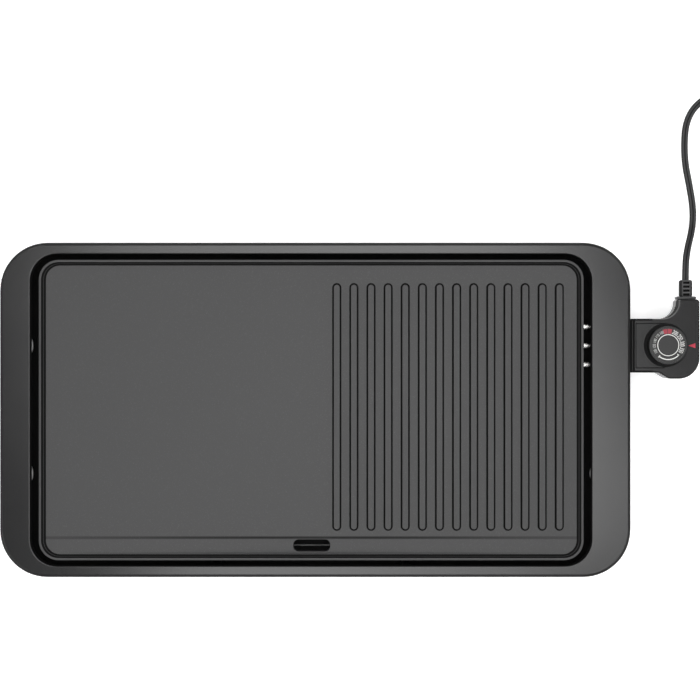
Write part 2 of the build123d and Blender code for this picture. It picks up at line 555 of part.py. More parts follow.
with BuildPart() as control_bottom_shell:
    with BuildSketch(Plane.XY.offset(CONTROL_LOW_Z)):
        add(control_outline.sketch)
    extrude(amount=CONTROL_SPLIT_Z - CONTROL_LOW_Z)
    fillet(control_bottom_shell.faces().sort_by(Axis.Z)[0].edges(), 1.6)
    with BuildSketch(Plane.XY.offset(CONTROL_LOW_Z + SHELL_WALL)):
        add(control_cavity.sketch)
    extrude(amount=CONTROL_SPLIT_Z - CONTROL_LOW_Z - SHELL_WALL, mode=Mode.SUBTRACT)
    with BuildSketch(Plane.XY.offset(CONTROL_LOW_Z)):
        with Locations(*screw_points):
            Circle(boss_radius)
    extrude(amount=CONTROL_SPLIT_Z - CONTROL_LOW_Z)
    with BuildSketch(Plane.XY.offset(CONTROL_LOW_Z)):
        with Locations(*screw_points):
            Circle(1.6)
    extrude(amount=CONTROL_SPLIT_Z - CONTROL_LOW_Z, mode=Mode.SUBTRACT)
    with BuildSketch(Plane.XY.offset(CONTROL_LOW_Z)):
        with Locations(*screw_points):
            Circle(2.4)
    extrude(amount=2, mode=Mode.SUBTRACT)
    # finger grip ribs in the inner corner and on the front bend
    with BuildSketch(Plane.XY.offset(CONTROL_LOW_Z + 3)):
        with Locations(inner_corner_centre):
            with PolarLocations(INNER_CORNER + 0.2, grip_rib_count, start_angle=-75, angular_range=66):
                Circle(grip_rib_radius)
        with Locations(*front_grip_ribs):
            Circle(grip_rib_radius)
    extrude(amount=CONTROL_SPLIT_Z - CONTROL_LOW_Z - 3)
    # nose opening and cord opening
    with BuildSketch(Plane.YZ.offset(CONTROL_LEFT)):
        with Locations((CONTROL_Y, nose_mid_z)):
            Rectangle(2 * NOSE_HALF_WIDTH - 5, nose_height - 5)
    extrude(amount=SHELL_WALL + 1, mode=Mode.SUBTRACT)
    with BuildSketch(Plane.XZ.offset(-CONTROL_BACK)):
        with Locations((CORD_EXIT[0], CORD_EXIT[2])):
            Rectangle(cord_hole[0] + 0.2, cord_hole[1] + 0.2)
    extrude(amount=4, mode=Mode.SUBTRACT)
save(control_bottom_shell, "control_bottom_shell")

with BuildPart() as control_screws:
    with BuildSketch(Plane.XY.offset(CONTROL_LOW_Z + 0.6)):
        with Locations(*screw_points):
            Circle(2.2)
            Rectangle(3, 0.6, mode=Mode.SUBTRACT)
    extrude(amount=1.4)
    with BuildSketch(Plane.XY.offset(CONTROL_LOW_Z + 1.5)):
        with Locations(*screw_points):
            Circle(1.25)
    extrude(amount=22)
save(control_screws, "control_screws")

# ---------------------------------------------------------------- temperature control: nose and contacts
nose_flange_right = CONTROL_LEFT + SHELL_WALL + 1.0
with BuildPart() as control_nose:
    with BuildSketch(Plane.YZ.offset(NOSE_LEFT)):
        with Locations((CONTROL_Y, nose_mid_z)):
            RectangleRounded(2 * NOSE_HALF_WIDTH, nose_height, 2)
    extrude(amount=CONTROL_LEFT - NOSE_LEFT)
    with BuildSketch(Plane.YZ.offset(CONTROL_LEFT)):
        with Locations((CONTROL_Y, nose_mid_z)):
            Rectangle(2 * NOSE_HALF_WIDTH - 5.2, nose_height - 5.2)
    extrude(amount=SHELL_WALL + 1)
    fillet(control_nose.faces().sort_by(Axis.X)[0].edges(), 1)
    with BuildSketch(Plane.YZ.offset(NOSE_LEFT)):
        with Locations((REAR_PIN_Y, PIN_Z), (FRONT_PIN_Y, PIN_Z)):
            Circle(SLEEVE_RADIUS + 0.05)
        with Locations((CONTROL_Y, PIN_Z)):
            Circle(PROBE_RADIUS + 0.05)
    extrude(amount=nose_flange_right - NOSE_LEFT, mode=Mode.SUBTRACT)
save(control_nose, "control_nose")

with BuildPart() as terminal_sleeves:
    with BuildSketch(Plane.YZ.offset(NOSE_LEFT + 1.5)):
        with Locations((REAR_PIN_Y, PIN_Z), (FRONT_PIN_Y, PIN_Z)):
            Circle(SLEEVE_RADIUS)
            Circle(SLEEVE_BORE, mode=Mode.SUBTRACT)
    extrude(amount=32)
save(terminal_sleeves, "terminal_sleeves")

with BuildPart() as probe_stem:
    with BuildSketch(Plane.YZ.offset(PROBE_TIP_X)):
        with Locations((CONTROL_Y, PIN_Z)):
            Circle(PROBE_RADIUS)
    extrude(amount=PROBE_END_X - PROBE_TIP_X)
    fillet(probe_stem.faces().sort_by(Axis.X)[0].edges(), 1.6)
save(probe_stem, "probe_stem")

# ---------------------------------------------------------------- thermostat inside the control
bracket_z, arm_offset, arm_width = 21.0, 6.5, 5.0
with BuildPart() as thermostat_frame:
    with BuildSketch(Plane.XZ.offset(-CONTROL_Y - 9)):
        with BuildLine():
            Polyline(
                (304, PIN_Z + 8), (304, bracket_z), (352, bracket_z), (352, PIN_Z + 4),
            )
            offset(amount=1.2, side=Side.RIGHT)
        make_face()
    extrude(amount=18)
save(thermostat_frame, "thermostat_frame")

with BuildPart() as insulating_stack:
    for block in range(3):
        with BuildSketch(Plane.XY.offset(bracket_z + 3.6 * block)):
            with Locations((313, CONTROL_Y + arm_offset)):
                Rectangle(7, 7)
        extrude(amount=3)
save(insulating_stack, "insulating_stack")

with BuildPart() as fixed_contact_arm:
    with BuildSketch(Plane.XY.offset(bracket_z + 3)):
        with Locations((321, CONTROL_Y + arm_offset)):
            Rectangle(23, arm_width)
    extrude(amount=0.6)
save(fixed_contact_arm, "fixed_contact_arm")

with BuildPart() as moving_contact_arm:
    with BuildSketch(Plane.XY.offset(bracket_z + 6.6)):
        with Locations((324, CONTROL_Y + arm_offset)):
            Rectangle(29, arm_width)
    extrude(amount=0.6)
save(moving_contact_arm, "moving_contact_arm")

with BuildPart() as contact_points:
    with BuildSketch(Plane.XY.offset(bracket_z + 3.6)):
        with Locations((329, CONTROL_Y + arm_offset)):
            Circle(2)
    extrude(amount=1.4)
    with BuildSketch(Plane.XY.offset(bracket_z + 6.6)):
        with Locations((329, CONTROL_Y + arm_offset)):
            Circle(2)
    extrude(amount=-1.4)
save(contact_points, "contact_points")

with BuildPart() as transfer_pin:
    with BuildSketch(Plane.YZ.offset(304)):
        with Locations((CONTROL_Y, PIN_Z)):
            Circle(1.2)
    extrude(amount=22)
save(transfer_pin, "transfer_pin")

with BuildPart() as pilot_lamp:
    with BuildSketch(Plane.XZ.offset(-CONTROL_Y + arm_offset)):
        with Locations((361, 42)):
            Circle(2.4)
    extrude(amount=-10)
    fillet(pilot_lamp.faces().sort_by(Axis.Y)[-1].edges(), 1.8)
save(pilot_lamp, "pilot_lamp")

lens_flange_z, lens_flange_top = CONTROL_TOP_Z - SHELL_WALL - 1.4, CONTROL_TOP_Z - SHELL_WALL
with BuildPart() as pointer_lens:
    with BuildSketch(Plane.XY.offset(lens_flange_z)):
        with Locations(((POINTER_TIP_X + POINTER_BASE_X) / 2, CONTROL_Y)):
            Rectangle(8.6, 7)
    extrude(amount=lens_flange_top - lens_flange_z)
    with BuildSketch(Plane.XY.offset(lens_flange_top)):
        add(pointer_outline.sketch)
    extrude(amount=CONTROL_TOP_Z + POINTER_PROUD - lens_flange_top)
save(pointer_lens, "pointer_lens")

# ---------------------------------------------------------------- dial
with BuildPart() as dial_knob:
    with BuildSketch(Plane.XZ.offset(-DIAL_Y)):
        with BuildLine():
            Polyline(
                (DIAL_X + DIAL_BORE, DIAL_LOW_Z), (DIAL_X + DIAL_SKIRT_RADIUS, DIAL_LOW_Z),
                (DIAL_X + DIAL_SKIRT_RADIUS, DIAL_LOW_Z + 2),
                (DIAL_X + DIAL_SHOULDER_RADIUS, DIAL_LOW_Z + 3.4),
                (DIAL_X + DIAL_WALL_RADIUS, DIAL_TOP_Z - 1), (DIAL_X + DIAL_RADIUS, DIAL_TOP_Z),
                (DIAL_X + DIAL_FACE_RADIUS + 0.1, DIAL_TOP_Z),
                (DIAL_X + DIAL_FACE_RADIUS + 0.1, DIAL_TOP_Z - DIAL_FACE_DEPTH),
                (DIAL_X + DIAL_BORE, DIAL_TOP_Z - DIAL_FACE_DEPTH), close=True,
            )
        make_face()
    revolve(axis=Axis((DIAL_X, DIAL_Y, 0), (0, 0, 1)))
    # grip flutes round the side
    with BuildSketch(Plane.XY.offset(DIAL_LOW_Z + 3.6)):
        with Locations((DIAL_X, DIAL_Y)):
            with PolarLocations(FLUTE_CIRCLE, FLUTE_COUNT):
                Circle(FLUTE_RADIUS)
    extrude(amount=DIAL_TOP_Z - DIAL_FACE_DEPTH - DIAL_LOW_Z - 3.6, mode=Mode.SUBTRACT)
save(dial_knob, "dial_knob")

with BuildPart() as dial_plate:
    with BuildSketch(Plane.XY.offset(DIAL_TOP_Z - DIAL_FACE_DEPTH)):
        with Locations((DIAL_X, DIAL_Y)):
            Circle(DIAL_FACE_RADIUS)
    extrude(amount=0.8)
save(dial_plate, "dial_plate")

with BuildPart() as dial_shaft:
    with BuildSketch(Plane.XY.offset(28)):
        with Locations((DIAL_X, DIAL_Y)):
            Circle(3)
    extrude(amount=DIAL_TOP_Z - 1.4 - 28)
    # cam that bears on the contact arm
    with BuildSketch(Plane.XY.offset(38)):
        with Locations((DIAL_X + 1.5, DIAL_Y)):
            Circle(7)
    extrude(amount=4)
save(dial_shaft, "dial_shaft")

with BuildPart() as dial_clip:
    with BuildSketch(Plane.XY.offset(45)):
        with Locations((DIAL_X, DIAL_Y)):
            Circle(5.2)
            Circle(3, mode=Mode.SUBTRACT)
        with Locations((DIAL_X - 4, DIAL_Y)):
            Rectangle(5, 2.6, mode=Mode.SUBTRACT)
    extrude(amount=0.8)
save(dial_clip, "dial_clip")

# ---------------------------------------------------------------- strain relief, leads and cord
exit_x, exit_y, exit_z = CORD_EXIT
with BuildPart() as strain_relief:
    with BuildSketch(Plane.XZ.offset(-CONTROL_BACK + 6)):
        with Locations((exit_x, exit_z)):
            RectangleRounded(14, 10, 2)
    extrude(amount=-3)
    with BuildSketch(Plane.XZ.offset(-CONTROL_BACK + 4)):
        with Locations((exit_x, exit_z)):
            RectangleRounded(cord_hole[0], cord_hole[1], 1)
    extrude(amount=-5)
    with BuildSketch(Plane.XZ.offset(-CONTROL_BACK - 0.2)):
        with Locations((exit_x, exit_z)):
            RectangleRounded(20, 15, 3)
    extrude(amount=-3.1)
    with BuildSketch(Plane.XZ.offset(-CONTROL_BACK - 3.3)):
        with Locations((exit_x, exit_z)):
            RectangleRounded(13.8, 10.4, 2.5)
    with BuildSketch(Plane.XZ.offset(-exit_y)):
        with Locations((exit_x, exit_z)):
            RectangleRounded(11.8, 7.6, 2.5)
    loft()
    # flexing slots on both flat sides
    for slot_y in (123.4, 127.6, 131.8):
        with BuildSketch(Plane.XZ.offset(-slot_y)):
            with Locations((exit_x, exit_z + 5.4), (exit_x, exit_z - 5.4)):
                Rectangle(8, 3)
        extrude(amount=-1.8, mode=Mode.SUBTRACT)
save(strain_relief, "strain_relief")

lead_start_y, lead_offset = CONTROL_BACK - 6, 18.2
lead_routes = [
    [(353.6, lead_start_y, 33), (353.6, 97, 33), (344, CONTROL_Y + lead_offset, PIN_Z),
     (297, CONTROL_Y + lead_offset, PIN_Z)],
    [(356.8, lead_start_y, 33), (356.8, 57.5, 30), (349, CONTROL_Y - lead_offset, PIN_Z),
     (297, CONTROL_Y - lead_offset, PIN_Z)],
]
with BuildPart() as cord_leads:
    for route in lead_routes:
        with BuildLine():
            lead_line = FilletPolyline(*route, radius=3.5)
        with BuildSketch(Plane(origin=lead_line @ 0, z_dir=lead_line % 0)):
            Circle(1.2)
        sweep()
save(cord_leads, "cord_leads")

cord_route = [
    CORD_EXIT, (357.9, 150.5, 32.7), (359.4, 163.0, 29.2), (363.2, 175.5, 21.4), (368.2, 188.0, 12.0),
    (371.8, 202.0, 4.8), (372.2, 219.0, CORD_REST_Z), (368.6, 241.0, CORD_REST_Z),
    (363.6, 266.0, CORD_REST_Z), (363.0, 288.0, CORD_REST_Z), (364.2, 306.0, CORD_REST_Z),
    (370.0, 321.5, CORD_REST_Z), (381.0, 333.5, CORD_REST_Z), (396.0, 341.0, CORD_REST_Z),
    (411.5, 343.4, CORD_REST_Z), (425.0, 342.6, CORD_REST_Z),
]
cord_radii = tangent_radii(cord_route)
cord_section = (CORD_WIDTH - CORD_THICKNESS) * CORD_THICKNESS + pi * CORD_THICKNESS**2 / 4
with BuildPart() as power_cord:
    with BuildLine():
        cord_line = FilletPolyline(*cord_route, radius=cord_radii)
    with BuildSketch(Plane(origin=cord_line @ 0, x_dir=(1, 0, 0), z_dir=cord_line % 0)):
        SlotOverall(CORD_WIDTH, CORD_THICKNESS)
    sweep()
save(power_cord, "power_cord")
print("cord radii", [round(radius, 1) for radius in cord_radii])
print("cord length", round(cord_line.length, 1), "volume over section x length",
      round(power_cord.part.volume / (cord_section * cord_line.length), 4))

tie_x, tie_width, tie_gauge = COIL_X - (COIL_INNER + COIL_OUTER) / 2, 12.0, 0.8
with BuildPart() as cord_tie:
    with BuildSketch(Plane.XZ.offset(-COIL_Y + tie_width / 2)):
        with Locations((tie_x, COIL_HEIGHT / 2 + tie_gauge / 2)):
            RectangleRounded(13, COIL_HEIGHT + tie_gauge, 2)
            RectangleRounded(13 - 2 * tie_gauge, COIL_HEIGHT - tie_gauge, 1.2, mode=Mode.SUBTRACT)
    extrude(amount=-tie_width)
save(cord_tie, "cord_tie")

with BuildPart() as cord_coil:
    with BuildSketch(Plane.XY):
        with Locations((COIL_X, COIL_Y)):
            Circle(COIL_OUTER)
            Circle(COIL_INNER, mode=Mode.SUBTRACT)
    extrude(amount=COIL_HEIGHT)
    add(cord_tie.part, mode=Mode.SUBTRACT)
save(cord_coil, "cord_coil")

plug_back_y, plug_front_y = 266.0, 230.0
tail_route = [
    (478.0, 303.0, 10.9), (479.2, 290.0, 10.6), (478.9, 277.0, 8.8), (PLUG_X, plug_back_y, PLUG_Z),
]
tail_radii = tangent_radii(tail_route)
with BuildPart() as cord_tail:
    with BuildLine():
        tail_line = FilletPolyline(*tail_route, radius=tail_radii)
    with BuildSketch(Plane(origin=tail_line @ 0, x_dir=(-1, 0, 0), z_dir=tail_line % 0)):
        SlotOverall(CORD_WIDTH, CORD_THICKNESS)
    sweep()
save(cord_tail, "cord_tail")
print("tail radii", [round(radius, 1) for radius in tail_radii])

with BuildPart() as plug_body:
    with BuildSketch(Plane.XZ.offset(-plug_back_y)):
        with Locations((PLUG_X, PLUG_Z)):
            RectangleRounded(10.5, 7.5, 2.5)
    with BuildSketch(Plane.XZ.offset(-plug_back_y + 16)):
        with Locations((PLUG_X, PLUG_Z)):
            RectangleRounded(18, 12, 4)
    loft()
    with BuildSketch(Plane.XZ.offset(-plug_back_y + 16)):
        with Locations((PLUG_X, PLUG_Z)):
            RectangleRounded(24, 15.4, 4)
    extrude(amount=plug_back_y - 16 - plug_front_y)
    fillet(plug_body.faces().sort_by(Axis.Y)[0].edges(), 1.5)
    with BuildSketch(Plane.XZ.offset(-plug_front_y)):
        with Locations((PLUG_X, PLUG_Z)):
            with GridLocations(12.7, 1, 2, 1):
                Rectangle(1.6, 6.4)
    extrude(amount=-12, mode=Mode.SUBTRACT)
save(plug_body, "plug_body")

with BuildPart() as plug_blades:
    with BuildSketch(Plane.XZ.offset(-plug_front_y - 11)):
        with Locations((PLUG_X, PLUG_Z)):
            with GridLocations(12.7, 1, 2, 1):
                Rectangle(1.5, 6.3)
    extrude(amount=28)
    with BuildSketch(Plane.YZ.offset(PLUG_X - 10)):
        with Locations((plug_front_y - 12, PLUG_Z)):
            Circle(1.5)
    extrude(amount=20, mode=Mode.SUBTRACT)
save(plug_blades, "plug_blades")
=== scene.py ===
import math

import bmesh
import bpy
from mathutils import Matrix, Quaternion, Vector


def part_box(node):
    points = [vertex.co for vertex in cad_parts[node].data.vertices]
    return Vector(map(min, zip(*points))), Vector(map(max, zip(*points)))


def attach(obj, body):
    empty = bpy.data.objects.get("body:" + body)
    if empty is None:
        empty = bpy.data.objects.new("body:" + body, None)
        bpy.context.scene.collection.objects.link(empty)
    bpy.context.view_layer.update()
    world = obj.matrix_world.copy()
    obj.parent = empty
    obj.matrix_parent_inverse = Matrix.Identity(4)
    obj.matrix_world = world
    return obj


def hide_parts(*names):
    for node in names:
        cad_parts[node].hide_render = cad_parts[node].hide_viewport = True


bl_info = {
    "name": "Electric Griddle",
    "version": (1, 0, 0),
    "blender": (4, 5, 0),
    "location": "3D Viewport > Sidebar > Griddle",
    "description": "Finishes an electric griddle with its temperature control, dial print, cord and plug",
    "category": "Object",
}

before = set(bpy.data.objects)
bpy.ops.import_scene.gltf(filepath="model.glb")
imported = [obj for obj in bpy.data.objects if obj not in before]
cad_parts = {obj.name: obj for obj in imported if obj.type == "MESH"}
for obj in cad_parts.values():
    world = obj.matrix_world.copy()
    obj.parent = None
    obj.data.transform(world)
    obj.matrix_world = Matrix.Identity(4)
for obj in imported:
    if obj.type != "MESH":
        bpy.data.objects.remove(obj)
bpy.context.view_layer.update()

TAU = 2 * math.pi
DIAL_LOW, DIAL_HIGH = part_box("dial_plate")
DIAL_X = (DIAL_LOW.x + DIAL_HIGH.x) / 2
DIAL_Y = (DIAL_LOW.y + DIAL_HIGH.y) / 2
DIAL_Z = DIAL_HIGH.z
RIM_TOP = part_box("griddle_plate")[1].z
COOKING_DEPTH, RIB_HEIGHT = 0.005, 0.0025
FLOOR_TOP = RIM_TOP - COOKING_DEPTH
RIB_TOP = FLOOR_TOP + RIB_HEIGHT
WALL_MARGIN = 0.0002
RIB_FIRST_X, RIB_PITCH, RIB_Y = -0.0139, 0.018, 0.0031
RIB_LENGTH, RIB_WIDTH, FOOT_SHADE_WIDTH = 0.2592, 0.0083, 0.0007
RIB_COUNT = 14
TROUGH_STEP_Y, TROUGH_STEP, TROUGH_STEP_CORE = -0.1345, 0.0021, 0.0009
OPENING_X, OPENING_LENGTH, OPENING_WIDTH, OPENING_BORDER = -0.041, 0.590, 0.328, 0.0016
LIP_ROUNDING, TRAY_FACE_DEPTH = 0.0012, 0.015
BASE_LOW, BASE_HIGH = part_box("base_frame")
BASE_MIDDLE_X = (BASE_LOW.x + BASE_HIGH.x) / 2
BASE_CORNER, BASE_BORDER, BORDER_BLUR = 0.050, 0.0033, 0.0006
DECK_ROUNDING, DECK_ROUNDING_END = 0.0030, 0.0045
BASE_LENGTH, BASE_WIDTH = BASE_HIGH.x - BASE_LOW.x, BASE_HIGH.y - BASE_LOW.y
DECK_TOP = BASE_HIGH.z
CONTROL_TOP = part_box("control_top_shell")[1].z
CONTROL_Y, RECESS_RADIUS = 0.0676, 0.0233
PANEL_X, PANEL_LENGTH, PANEL_WIDTH, PANEL_DEPTH = 0.317, 0.0298, 0.047, 0.0007
NECK_HALF_WIDTH, NECK_END_X, COLLAR_END_X, COLLAR_LINE_X = 0.0285, 0.320, 0.3008, 0.2983
CORNER_X, CORNER_Y, CONTROL_ROUNDING, CONTROL_SPLIT = 0.3490, 0.0950, 0.0016, 0.017
CORNER_LINE_DEPTH, CONTROL_MARKS_DEPTH = 0.0002, 0.003
EDGE_START, EDGE_FULL, EDGE_FADES, EDGE_ENDS = 0.00002, 0.0001, 0.0014, 0.0020
NECK_EDGE_INNER, NECK_EDGE_OUTER, COLLAR_LINE_HALF = 0.0026, 0.0018, 0.0002
RECESS_BLUR, PANEL_BORDER_CORE, PANEL_BORDER, PANEL_MARGIN = 0.0006, 0.0002, 0.0008, 0.0001
KNOB_FLANK_START, KNOB_FLANK_END = 0.0022, 0.0040
TROUGH_FADE_START, TROUGH_FADE_END = 0.05, 0.278
SLOT_EDGE, BOOT_FLANK = 0.0006, 0.0048

# colours of painted shade and of a painted highlight, laid by position over the plastics and the coating
PAINTED_SHADE_BLACK = (0.004, 0.004, 0.004, 1)
PAINTED_SHADE_GREY = (0.012, 0.012, 0.012, 1)
PAINTED_HIGHLIGHT = (0.10, 0.10, 0.10, 1)
DULL, DULL_SPECULAR = 0.8, 0.08


# ------------------------------------------------------------------ settings


class GriddleFinishSettings(bpy.types.PropertyGroup):
    """Colours of the griddle's materials."""

    housing_colour: bpy.props.FloatVectorProperty(
        name="Housing",
        description="Moulded base",
        subtype="COLOR",
        size=3,
        default=(0.008, 0.008, 0.0083),
    )
    control_colour: bpy.props.FloatVectorProperty(
        name="Control",
        description="Temperature control",
        subtype="COLOR",
        size=3,
        default=(0.009, 0.009, 0.0093),
    )
    coating_colour: bpy.props.FloatVectorProperty(
        name="Coating",
        description="Non-stick plate",
        subtype="COLOR",
        size=3,
        default=(0.024, 0.024, 0.0245),
    )
    print_colour: bpy.props.FloatVectorProperty(
        name="Print",
        description="White print on the dial",
        subtype="COLOR",
        size=3,
        default=(0.72, 0.72, 0.70),
    )
    accent_colour: bpy.props.FloatVectorProperty(
        name="Accent",
        description="Red print and pointer",
        subtype="COLOR",
        size=3,
        default=(0.42, 0.030, 0.055),
    )


class GriddleCordSettings(bpy.types.PropertyGroup):
    """Sizes of the flat twin cord."""

    width: bpy.props.FloatProperty(
        name="Width", description="Across both cores", default=0.0073, unit="LENGTH"
    )
    thickness: bpy.props.FloatProperty(
        name="Thickness", description="Across one core", default=0.0040, unit="LENGTH"
    )
    coil_radius: bpy.props.FloatProperty(
        name="Coil radius", description="Middle of the turns", default=0.041, unit="LENGTH"
    )
    coil_turns: bpy.props.FloatProperty(name="Turns", description="Turns in the coil", default=2.25)


class GriddleDialSettings(bpy.types.PropertyGroup):
    """Sizes of the dial's print."""

    ring_radius: bpy.props.FloatProperty(
        name="Ring radius", description="White ring", default=0.0114, unit="LENGTH"
    )
    print_radius: bpy.props.FloatProperty(
        name="Print radius", description="Middle of the numbers", default=0.0145, unit="LENGTH"
    )
    number_height: bpy.props.FloatProperty(
        name="Number height", description="Height of the numbers", default=0.0048, unit="LENGTH"
    )


class GriddleStageSettings(bpy.types.PropertyGroup):
    """Camera and light."""

    camera_height: bpy.props.FloatProperty(
        name="Camera height", description="Above the floor", default=1.76, unit="LENGTH"
    )
    camera_y: bpy.props.FloatProperty(
        name="Camera offset", description="Towards the back", default=0.063, unit="LENGTH"
    )
    view_width: bpy.props.FloatProperty(
        name="View width", description="Width seen at the rim", default=0.735, unit="LENGTH"
    )
    floor_size: bpy.props.FloatProperty(
        name="Floor size", description="Side of the floor", default=90.0, unit="LENGTH"
    )


# ------------------------------------------------------------------ shader maths


class Value:
    """A number socket that can stand in a sum."""

    def __init__(self, tree, socket):
        self.tree = tree
        self.socket = socket

    def _sum(self, operation, first, second):
        node = self.tree.nodes.new("ShaderNodeMath")
        node.operation = operation
        for place, item in enumerate((first, second)):
            if isinstance(item, Value):
                self.tree.links.new(item.socket, node.inputs[place])
            else:
                node.inputs[place].default_value = item
        return Value(self.tree, node.outputs[0])

    def __add__(self, other):
        return self._sum("ADD", self, other)

    def __radd__(self, other):
        return self._sum("ADD", other, self)

    def __sub__(self, other):
        return self._sum("SUBTRACT", self, other)

    def __rsub__(self, other):
        return self._sum("SUBTRACT", other, self)

    def __mul__(self, other):
        return self._sum("MULTIPLY", self, other)

    def __rmul__(self, other):
        return self._sum("MULTIPLY", other, self)

    def __truediv__(self, other):
        return self._sum("DIVIDE", self, other)

    def power(self, other):
        return self._sum("POWER", self, other)

    def at_least(self, other):
        return self._sum("MAXIMUM", self, other)

    def above(self, other):
        return self._sum("GREATER_THAN", self, other)

    def below(self, other):
        return self._sum("LESS_THAN", self, other)

    def whole(self):
        return self._sum("ROUND", self, 0.0)

    def size(self):
        return self._sum("ABSOLUTE", self, 0.0)


class Finish:
    """A material under construction, with its shader and a way to add nodes."""

    def __init__(self, name):
        self.material = bpy.data.materials.new(name)
        self.material.use_nodes = True
        self.tree = self.material.node_tree
        self.shader = self.tree.nodes["Principled BSDF"]
        self.place = self.node("ShaderNodeTexCoord", output="Object")

    def node(self, kind, settings=None, inputs=None, output=0):
        """Add a node: its settings first, then the values or links of its sockets."""
        node = self.tree.nodes.new(kind)
        for name, setting in (settings or {}).items():
            setattr(node, name, setting)
        for name, item in (inputs or {}).items():
            self.feed(node.inputs[name], item)
        return Value(self.tree, node.outputs[output])

    def feed(self, socket, item):
        if isinstance(item, Value):
            self.tree.links.new(item.socket, socket)
        else:
            socket.default_value = item

    def noise(self, scale, detail=2.0, roughness=0.5, stretch=(1, 1, 1)):
        place = self.node("ShaderNodeMapping", inputs={"Vector": self.place, "Scale": stretch})
        return self.node(
            "ShaderNodeTexNoise",
            inputs={"Vector": place, "Scale": scale, "Detail": detail, "Roughness": roughness},
        )

    def fade(self, item, low, high):
        """Smooth step from 0 at low to 1 at high."""
        return self.node(
            "ShaderNodeMapRange",
            {"interpolation_type": "SMOOTHSTEP"},
            {"Value": item, "From Min": low, "From Max": high},
        )

    def axis(self, name):
        """Place along one axis of the griddle's frame."""
        return self.node("ShaderNodeSeparateXYZ", inputs={"Vector": self.place}, output=name)

    def shade(self, mask, colour=PAINTED_SHADE_BLACK, roughness=DULL):
        """Lay painted shade over the shader where the mask is one: a dark, dull shader mixed in."""
        dull = self.node(
            "ShaderNodeBsdfPrincipled",
            inputs={"Base Color": colour, "Roughness": roughness, "Specular IOR Level": DULL_SPECULAR},
        )
        over = self.node(
            "ShaderNodeMixShader",
            inputs={0: mask, 1: Value(self.tree, self.shader.outputs[0]), 2: dull},
        )
        self.feed(self.tree.nodes["Material Output"].inputs["Surface"], over)

    def blend(self, factor, first, second):
        """Colour between two colours."""
        node = self.tree.nodes.new("ShaderNodeMix")
        node.data_type = "RGBA"
        for socket, item in zip((node.inputs[0], node.inputs[6], node.inputs[7]), (factor, first, second)):
            self.feed(socket, item)
        return Value(self.tree, node.outputs[2])

    def bump(self, height, strength, distance):
        normal = self.node(
            "ShaderNodeBump", inputs={"Height": height, "Strength": strength, "Distance": distance}
        )
        self.feed(self.shader.inputs["Normal"], normal)

    def set(self, **sockets):
        """Set or link shader sockets, named with _ for a space."""
        for name, item in sockets.items():
            self.feed(self.shader.inputs[name.replace("_", " ")], item)
        return self


def rgba(colour, share=1.0):
    return (*[channel * share for channel in colour[:3]], 1.0)


# ------------------------------------------------------------------ materials


def moulded_plastic(name, colour, roughness, grain_size, grain_depth, gloss=0.5, sheen_range=0.06):
    """Moulded plastic with a spark-eroded grain, faint flow marks and a little dust in the grain."""
    finish = Finish(name)
    flow = finish.noise(7.0, 3.0, 0.6, (1, 2.2, 1))
    grain = finish.noise(1 / grain_size, 2.0, 0.6)
    dust = finish.noise(260.0, 4.0, 0.7)
    tone = finish.blend(flow * 0.55 + dust * 0.45, rgba(colour, 0.86), rgba(colour, 1.16))
    finish.set(
        Base_Color=tone,
        Roughness=roughness - sheen_range / 2 + (flow * 0.7 + grain * 0.3) * sheen_range,
    )
    finish.set(Specular_IOR_Level=gloss)
    finish.bump(grain, 0.35, grain_depth)
    return finish


def housing_plastic(colour):
    """The base's plastic, with painted shade on the lip inside the opening, deep behind the tray's face and
    along the outer edge.
    """
    finish = moulded_plastic(
        "housing_plastic", colour, roughness=0.20, grain_size=0.0011, grain_depth=0.00005
    )
    in_length = (finish.axis("X") - OPENING_X).size().below(OPENING_LENGTH / 2 + WALL_MARGIN)
    in_width = finish.axis("Y").size().below(OPENING_WIDTH / 2 + WALL_MARGIN)
    near_length = (finish.axis("X") - OPENING_X).size().below(OPENING_LENGTH / 2 + OPENING_BORDER)
    near_width = finish.axis("Y").size().below(OPENING_WIDTH / 2 + OPENING_BORDER)
    depth = DECK_TOP - finish.axis("Z")
    hanging = in_length * in_width * depth.above(LIP_ROUNDING)
    behind_tray_face = near_length * near_width * depth.above(TRAY_FACE_DEPTH)
    past_x = ((finish.axis("X") - BASE_MIDDLE_X).size() - (BASE_LENGTH / 2 - BASE_CORNER)).at_least(0.0)
    past_y = (finish.axis("Y").size() - (BASE_WIDTH / 2 - BASE_CORNER)).at_least(0.0)
    from_edge = BASE_CORNER - (past_x * past_x + past_y * past_y).power(0.5)
    border = 1 - finish.fade(from_edge, BASE_BORDER - BORDER_BLUR, BASE_BORDER)
    border = border * (1 - finish.fade(depth, DECK_ROUNDING, DECK_ROUNDING_END))
    # painted shade: the hanging lip, the gap behind the tray's face and the dark rounded outer edge
    dark = hanging.at_least(behind_tray_face).at_least(border * 0.7)
    finish.shade(dark, PAINTED_SHADE_GREY)
    return finish.material


